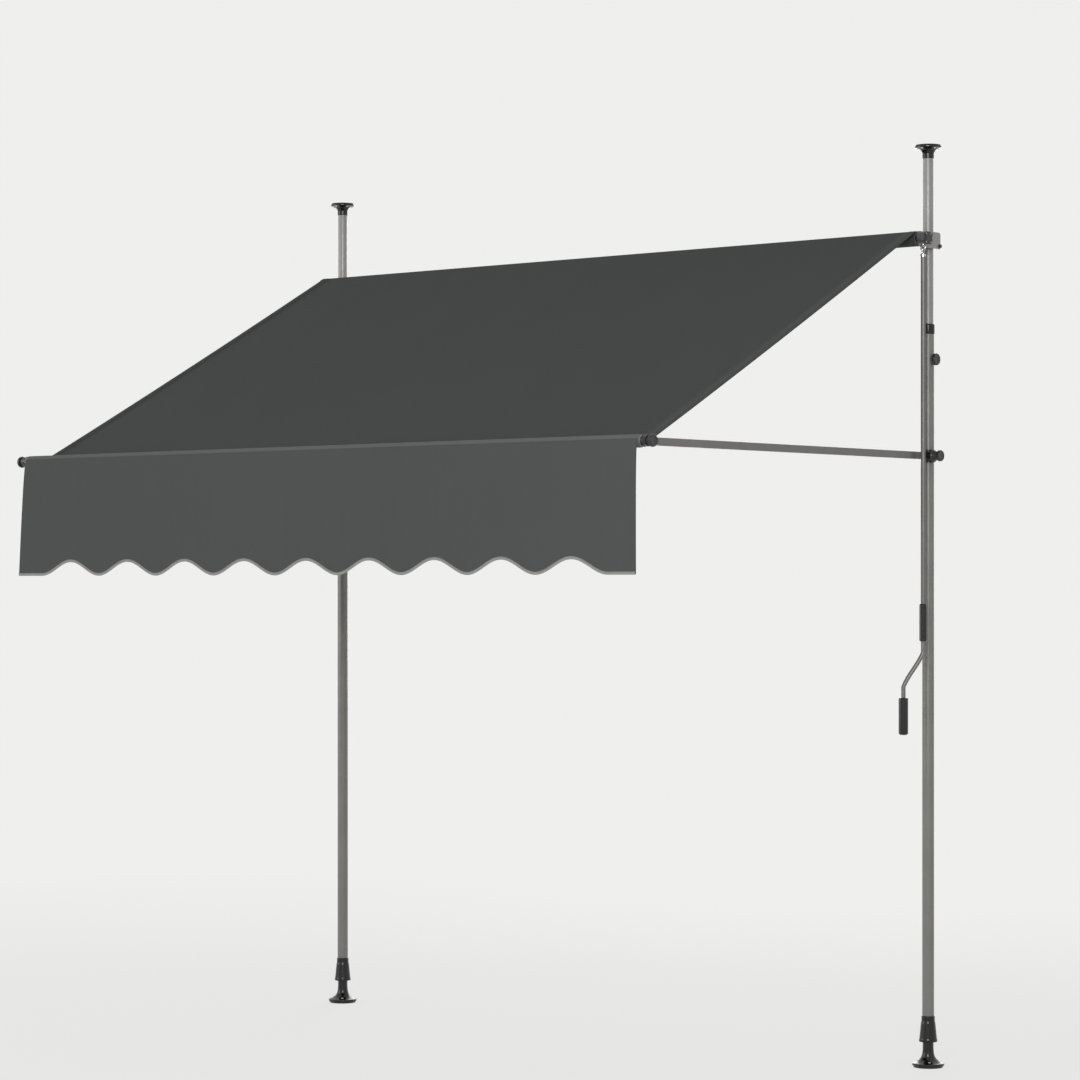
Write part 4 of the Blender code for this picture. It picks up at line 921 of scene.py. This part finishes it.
def make_adjusting_sleeve(side_name, post):
    """Nut that carries the post's end in a socket and runs on the foot's stud."""
    low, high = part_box(f"foot_sleeve_{side_name}")
    skirt = (high.x - low.x) / 2
    socket = POST_R + FIT
    rim = socket + 1.9 * MM
    floor = high.z - SOCKET_DEPTH
    web = floor - NUT_WEB
    bore = STUD_R + FIT
    hollow = FOOT_NECK_R + 0.6 * MM
    profile = [(skirt - 1 * MM, low.z), (skirt, low.z + 1 * MM), (skirt, low.z + 6 * MM),
               (skirt - 1.2 * MM, low.z + 9 * MM), (rim + 1.5 * MM, high.z - 20 * MM),
               (rim, high.z - 13 * MM), (rim, high.z - 1 * MM), (rim - 1 * MM, high.z), (socket, high.z),
               (socket, floor), (bore, floor), (bore, web), (hollow, web), (hollow, low.z)]
    stands_for(turned(f"adjusting_sleeve_{side_name}", softened(profile, 1.2 * MM), post, BLACK_NYLON),
               f"foot_sleeve_{side_name}")


def make_ceiling_rose(side_name, post, inner):
    """Top plate with its cone and cup. Returns the cone's height at the ring of screws."""
    low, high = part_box(f"ceiling_plate_{side_name}")
    plate_r = (high.x - low.x) / 2
    neck = inner + PLATE_NECK_WALL
    cone_top = high.z - PLATE_RIM
    neck_top = cone_top - PLATE_CONE
    cup = neck_top + PLATE_CUP
    plate = softened([(0, high.z), (plate_r - 0.8 * MM, high.z), (plate_r, high.z - 1 * MM),
                      (plate_r, cone_top)], 0.8 * MM)
    plate += trumpet(neck, plate_r, cone_top, -PLATE_FALL, PLATE_CONE)
    plate += softened([(neck, neck_top - 2 * MM), (neck, low.z + 1 * MM), (inner + 0.7 * MM, low.z),
                       (inner, low.z), (inner, cup), (0, cup)], 0.5 * MM)
    stands_for(turned(f"ceiling_rose_{side_name}", plate, post, BLACK_NYLON), f"ceiling_plate_{side_name}")
    return cone_top - PLATE_FALL * math.log((plate_r - neck) / (PLATE_SCREW_CIRCLE - neck))


def make_collar(side_name, post, inner):
    """Collar on the lower post's end, which guides the upper post."""
    low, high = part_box(f"telescope_collar_{side_name}")
    outer = (high.x - low.x) / 2
    ledge = POST_TOP + FIT
    collar = [(outer, low.z), (outer, high.z - 3 * MM), (outer - 1.2 * MM, high.z - 0.8 * MM),
              (outer - 2.5 * MM, high.z), (inner, high.z), (inner, ledge), (POST_R + FIT, ledge),
              (POST_R + FIT, low.z)]
    stands_for(turned(f"collar_{side_name}", softened(collar, 0.6 * MM), post, BLACK_NYLON),
               f"telescope_collar_{side_name}")


# Radius and distance from the knob's outer end in mm; None is the tip of its screw
KNOB_SHAPES = {
    "lock_knob": [(3.0, None), (3.0, 14.0), (7.0, 14.0), (7.0, 9.0), (16.2, 9.0), (16.5, 6.5), (16.5, 2.6),
                  (14.6, 0.2), (10.5, 0.0), (8.5, 1.2)],
    "arm_pivot_knob": [(4.3, None), (4.3, 29.0), (17.0, 29.0), (17.0, 25.2), (15.2, 22.6), (11.2, 12.5),
                       (10.5, 8.2), (15.2, 8.0), (15.5, 5.5), (15.5, 2.4), (13.6, 0.2), (10.5, 0.0),
                       (8.5, 1.0)],
    "bar_knob": [(3.0, None), (3.0, 16.0), (12.5, 16.0), (12.5, 13.2), (9.5, 11.4), (9.5, 8.6), (15.7, 8.4),
                 (16.0, 6.0), (16.0, 2.4), (14.2, 0.2), (11.0, 0.0), (9.0, 1.0)]}
LOBES_FROM = 6.6 * MM
LOBES_TO = 1.6 * MM


def make_knob(knob, shape, side_name, side):
    """A lobed knob with its screw, turned about an axis that points away from the awning."""
    low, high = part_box(f"{knob}_{side_name}")
    end = abs(high.x if side > 0 else low.x) - POST_X
    tip = abs(low.x if side > 0 else high.x) - POST_X
    profile = [(r * MM, tip if back is None else end - back * MM) for r, back in shape]
    profile = [(0, tip)] + profile + [(0, profile[-1][1])]
    centre = (low + high) / 2
    place = Matrix.Translation((side * POST_X, centre.y, centre.z))
    facing = place @ Matrix.Rotation(math.radians(90 * side), 4, "Y")
    piece = turned(f"{knob}_lobed_{side_name}", softened(profile, 1.0 * MM), facing, KNOB_NYLON,
                   KNOB_LOBES, LOBE_DEPTH, (end - LOBES_FROM, end - LOBES_TO))
    stands_for(piece, f"{knob}_{side_name}")


foot_screw_z = {}
plate_screw_z = {}
for side_name, side in SIDES.items():
    post = Matrix.Translation((side * POST_X, POST_Y, 0))
    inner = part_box(f"upper_pole_{side_name}")[1].x - side * POST_X + FIT
    tube(f"post_lower_{side_name}", f"lower_pole_{side_name}", LOWER_PAINT)
    tube(f"post_upper_{side_name}", f"upper_pole_{side_name}", UPPER_PAINT)
    foot_screw_z[side_name] = make_foot(side_name, post)
    make_adjusting_sleeve(side_name, post)
    plate_screw_z[side_name] = make_ceiling_rose(side_name, post, inner)
    make_collar(side_name, post, inner)
    for knob, shape in KNOB_SHAPES.items():
        make_knob(knob, shape, side_name, side)
tube("bar_tube", "front_bar", ARM_PAINT, along="X")


# Screws, set in rings by Geometry Nodes

def screw_mesh():
    """Pan head with a cross recess and a short shank, its top at height 0 and its radius 1."""
    segments = 32
    bm = bmesh.new()
    rings = []
    for radius in (0.16, 0.34, 0.5, 0.62, 0.85, 0.97, 1.0):
        ring = []
        for i in range(segments):
            in_cross = radius < 0.6 and (i % 8) in (0, 1, 7)
            height = -0.55 * (1 - math.sqrt(1 - 0.9 * radius ** 2)) - (0.4 if in_cross or radius < 0.2 else 0)
            angle = 2 * math.pi * i / segments
            ring.append(bm.verts.new((radius * math.cos(angle), radius * math.sin(angle), height)))
        rings.append(ring)
    for radius, height in ((1.0, -0.75), (0.5, -0.75), (0.5, -1.6)):
        rings.append([bm.verts.new((radius * math.cos(2 * math.pi * i / segments),
                                    radius * math.sin(2 * math.pi * i / segments), height))
                      for i in range(segments)])
    joined(bm, rings)
    return finished("one_screw", bm, ZINC, 30)


def screw_ring_tree():
    """Sets a number of screws on a circle, turns the ring to its face and moves it there."""
    tree, given = new_tree("screw_ring", "Screws", Geometry="Geometry", Screw="Object", Number="Int",
                           Circle_Radius="Float", Head_Radius="Float", First_Angle="Float",
                           Facing="Rotation", Centre="Vector", Metal="Material")
    circle = add(tree, "GeometryNodeMeshCircle", links={"Vertices": given["Number"],
                                                        "Radius": given["Circle Radius"]})
    first = add(tree, "ShaderNodeCombineXYZ", links={"Z": given["First Angle"]})
    spun = add(tree, "GeometryNodeTransform", links={"Geometry": circle.outputs["Mesh"],
                                                     "Rotation": first.outputs["Vector"]})
    one = add(tree, "GeometryNodeObjectInfo", {"transform_space": "ORIGINAL"},
              links={"Object": given["Screw"]})
    set_in = add(tree, "GeometryNodeInstanceOnPoints",
                 links={"Points": spun.outputs["Geometry"], "Instance": one.outputs["Geometry"],
                        "Scale": given["Head Radius"]})
    placed = add(tree, "GeometryNodeTransform",
                 links={"Geometry": set_in.outputs["Instances"], "Rotation": given["Facing"],
                        "Translation": given["Centre"]})
    real = add(tree, "GeometryNodeRealizeInstances", links={"Geometry": placed.outputs["Geometry"]})
    painted = add(tree, "GeometryNodeSetMaterial",
                  links={"Geometry": real.outputs["Geometry"], "Material": given["Metal"]})
    add(tree, "NodeGroupOutput", links={"Screws": painted.outputs["Geometry"]})
    return tree


SCREW = screw_mesh()
SCREW_RING = screw_ring_tree()


def set_screws(name, node, number, circle, head, first, facing, centre):
    """A ring of screws that rides on the node's body; first is the angle of the first one in degrees."""
    source = bpy.data.objects.new(name + "_source", bpy.data.meshes.new(name + "_source"))
    bpy.context.collection.objects.link(source)
    ring = grown(name, source, SCREW_RING, {
        "Screw": SCREW, "Number": number, "Circle Radius": circle, "Head Radius": head,
        "First Angle": math.radians(first), "Facing": Euler(facing), "Centre": centre, "Metal": ZINC})
    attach(ring, frame["nodes"][node]["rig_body"])


cover_low, cover_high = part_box("gear_cover")
cover_middle = (cover_low + cover_high) / 2
set_screws("gear_cover_screws", "gear_cover", 4, COVER_SCREW_CIRCLE, COVER_SCREW_R, 45,
           (0, math.radians(90), 0), (cover_high.x + COVER_SCREW_SEAT, cover_middle.y, cover_middle.z))
for side_name, side in SIDES.items():
    set_screws(f"ceiling_screws_{side_name}", f"ceiling_plate_{side_name}", 5, PLATE_SCREW_CIRCLE, SCREW_R,
               20, (math.radians(180), 0, 0),
               (side * POST_X, POST_Y, plate_screw_z[side_name] - PLATE_SCREW_SEAT))
    set_screws(f"foot_screws_{side_name}", f"foot_disc_{side_name}", 3, FOOT_SCREW_CIRCLE, SCREW_R,
               -50, (0, 0, 0), (side * POST_X, POST_Y, foot_screw_z[side_name] + FOOT_SCREW_SEAT))
bpy.data.objects.remove(SCREW)


# Finishes of the CAD nodes that stay

def repaint(mat, *nodes):
    """Give each CAD node this material in all its slots."""
    for name in nodes:
        node = frame["nodes"][name]
        if not node.data.materials:
            node.data.materials.append(mat)
        for slot in node.material_slots:
            slot.material = mat


def both(*names):
    """The left and the right node of each name."""
    return [f"{name}_{side}" for name in names for side in SIDES]


repaint(UPPER_PAINT, *both("roller_bracket"))
repaint(ARM_PAINT, *both("arm_tube"), "roller_tube", "crank_rod", "crank_bend")
repaint(BLACK_NYLON, *both("bracket_block", "bracket_bolt_front", "bracket_bolt_back", "arm_clamp",
                           "arm_pole_end", "arm_bar_end", "front_bar_cap"),
        "idler_plug", "drive_plug", "crank_upper_grip", "crank_lower_grip", "gear_cover")
repaint(GREY_NYLON, "gear_housing")
repaint(RUBBER, *both("foot_pad", "ceiling_pad"))
repaint(ZINC, "worm_shaft", "crank_hook")
repaint(BRONZE, "worm_wheel")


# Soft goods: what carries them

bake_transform(canopy)
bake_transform(hem_stitches)
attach(roll, "roller")
for piece in (sleeve, valance, binding, binding_stitches, valance_seam):
    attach(piece, "front_bar")


# Floor, lamps, camera and world

def seen_direct(tree):
    """1 for the rays that show the background: from the camera, in a reflection or through glass."""
    ray = add(tree, "ShaderNodeLightPath").outputs
    mirrored = add(tree, "ShaderNodeMath", {"operation": "MAXIMUM"},
                   links={0: ray["Is Glossy Ray"], 1: ray["Is Transmission Ray"]})
    return add(tree, "ShaderNodeMath", {"operation": "MAXIMUM"},
               links={0: ray["Is Camera Ray"], 1: mirrored.outputs[0]}).outputs[0]


def pale_floor():
    """A wide pale floor: near the object it is partly lit, so that it keeps the shadow, and further out it
    glows in the world's own colour, so that no horizon shows and every side of the object stays in view."""
    bm = bmesh.new()
    bmesh.ops.create_circle(bm, cap_ends=True, radius=FLOOR_RADIUS, segments=96)
    mat, tree, shader = new_material("pale_floor", BACKGROUND, 0.9)
    place = add(tree, "ShaderNodeTexCoord")
    away = add(tree, "ShaderNodeVectorMath", {"operation": "LENGTH"}, links={0: place.outputs["Object"]})
    share = add(tree, "ShaderNodeMapRange",
                values={"From Min": GLOW_FROM, "From Max": GLOW_FULL, "To Min": GLOW_SHARE, "To Max": 1.0},
                links={"Value": away.outputs["Value"]})
    seen = add(tree, "ShaderNodeMath", {"operation": "MULTIPLY"},
               links={0: share.outputs["Result"], 1: seen_direct(tree)})
    glow = add(tree, "ShaderNodeEmission", values={"Color": srgb(BACKGROUND), "Strength": 1.0})
    lit = add(tree, "ShaderNodeMixShader",
              links={0: seen.outputs[0], 1: shader.outputs[0], 2: glow.outputs[0]})
    tree.links.new(lit.outputs[0], tree.nodes["Material Output"].inputs["Surface"])
    finished("pale_floor", bm, mat, 60)


def soft_lamp(name, place, aim, width, watts):
    """A square lamp at a place, turned to the point it looks at."""
    lamp = bpy.data.lights.new(name, "AREA")
    lamp.shape = "SQUARE"
    lamp.size = width
    lamp.energy = watts
    obj = bpy.data.objects.new(name, lamp)
    obj.location = place
    obj.rotation_euler = (Vector(aim) - Vector(place)).to_track_quat("-Z", "Y").to_euler()
    bpy.context.collection.objects.link(obj)


def set_camera():
    """The level camera that was fitted to the photograph, its horizon moved by a vertical shift."""
    data = bpy.data.cameras.new("view")
    data.sensor_width = SENSOR_WIDTH
    data.lens = SENSOR_WIDTH * FOCAL_PIXELS / PICTURE_PIXELS
    data.shift_y = (HORIZON_ROW - PICTURE_PIXELS / 2) / PICTURE_PIXELS
    data.clip_end = 100
    camera = bpy.data.objects.new("view", data)
    camera.location = CAMERA_PLACE
    camera.rotation_euler = (math.radians(90), 0, math.radians(CAMERA_TURN))
    bpy.context.collection.objects.link(camera)
    bpy.context.scene.camera = camera


def set_world():
    """Even dim light from a world that shows the background's pale grey where it is seen."""
    world = bpy.data.worlds.new("studio")
    bpy.context.scene.world = world
    world.use_nodes = True
    tree = world.node_tree
    dim = tree.nodes["Background"]
    dim.inputs["Color"].default_value = srgb("#f4f5f5")
    dim.inputs["Strength"].default_value = WORLD_LIGHT
    pale = add(tree, "ShaderNodeBackground", values={"Color": srgb(BACKGROUND), "Strength": 1.0})
    mixed = add(tree, "ShaderNodeMixShader",
                links={0: seen_direct(tree), 1: dim.outputs[0], 2: pale.outputs[0]})
    tree.links.new(mixed.outputs[0], tree.nodes["World Output"].inputs["Surface"])


pale_floor()
for name, lamp in LAMPS.items():
    soft_lamp(name, *lamp)
set_camera()
set_world()
bpy.context.scene.view_settings.view_transform = "Standard"
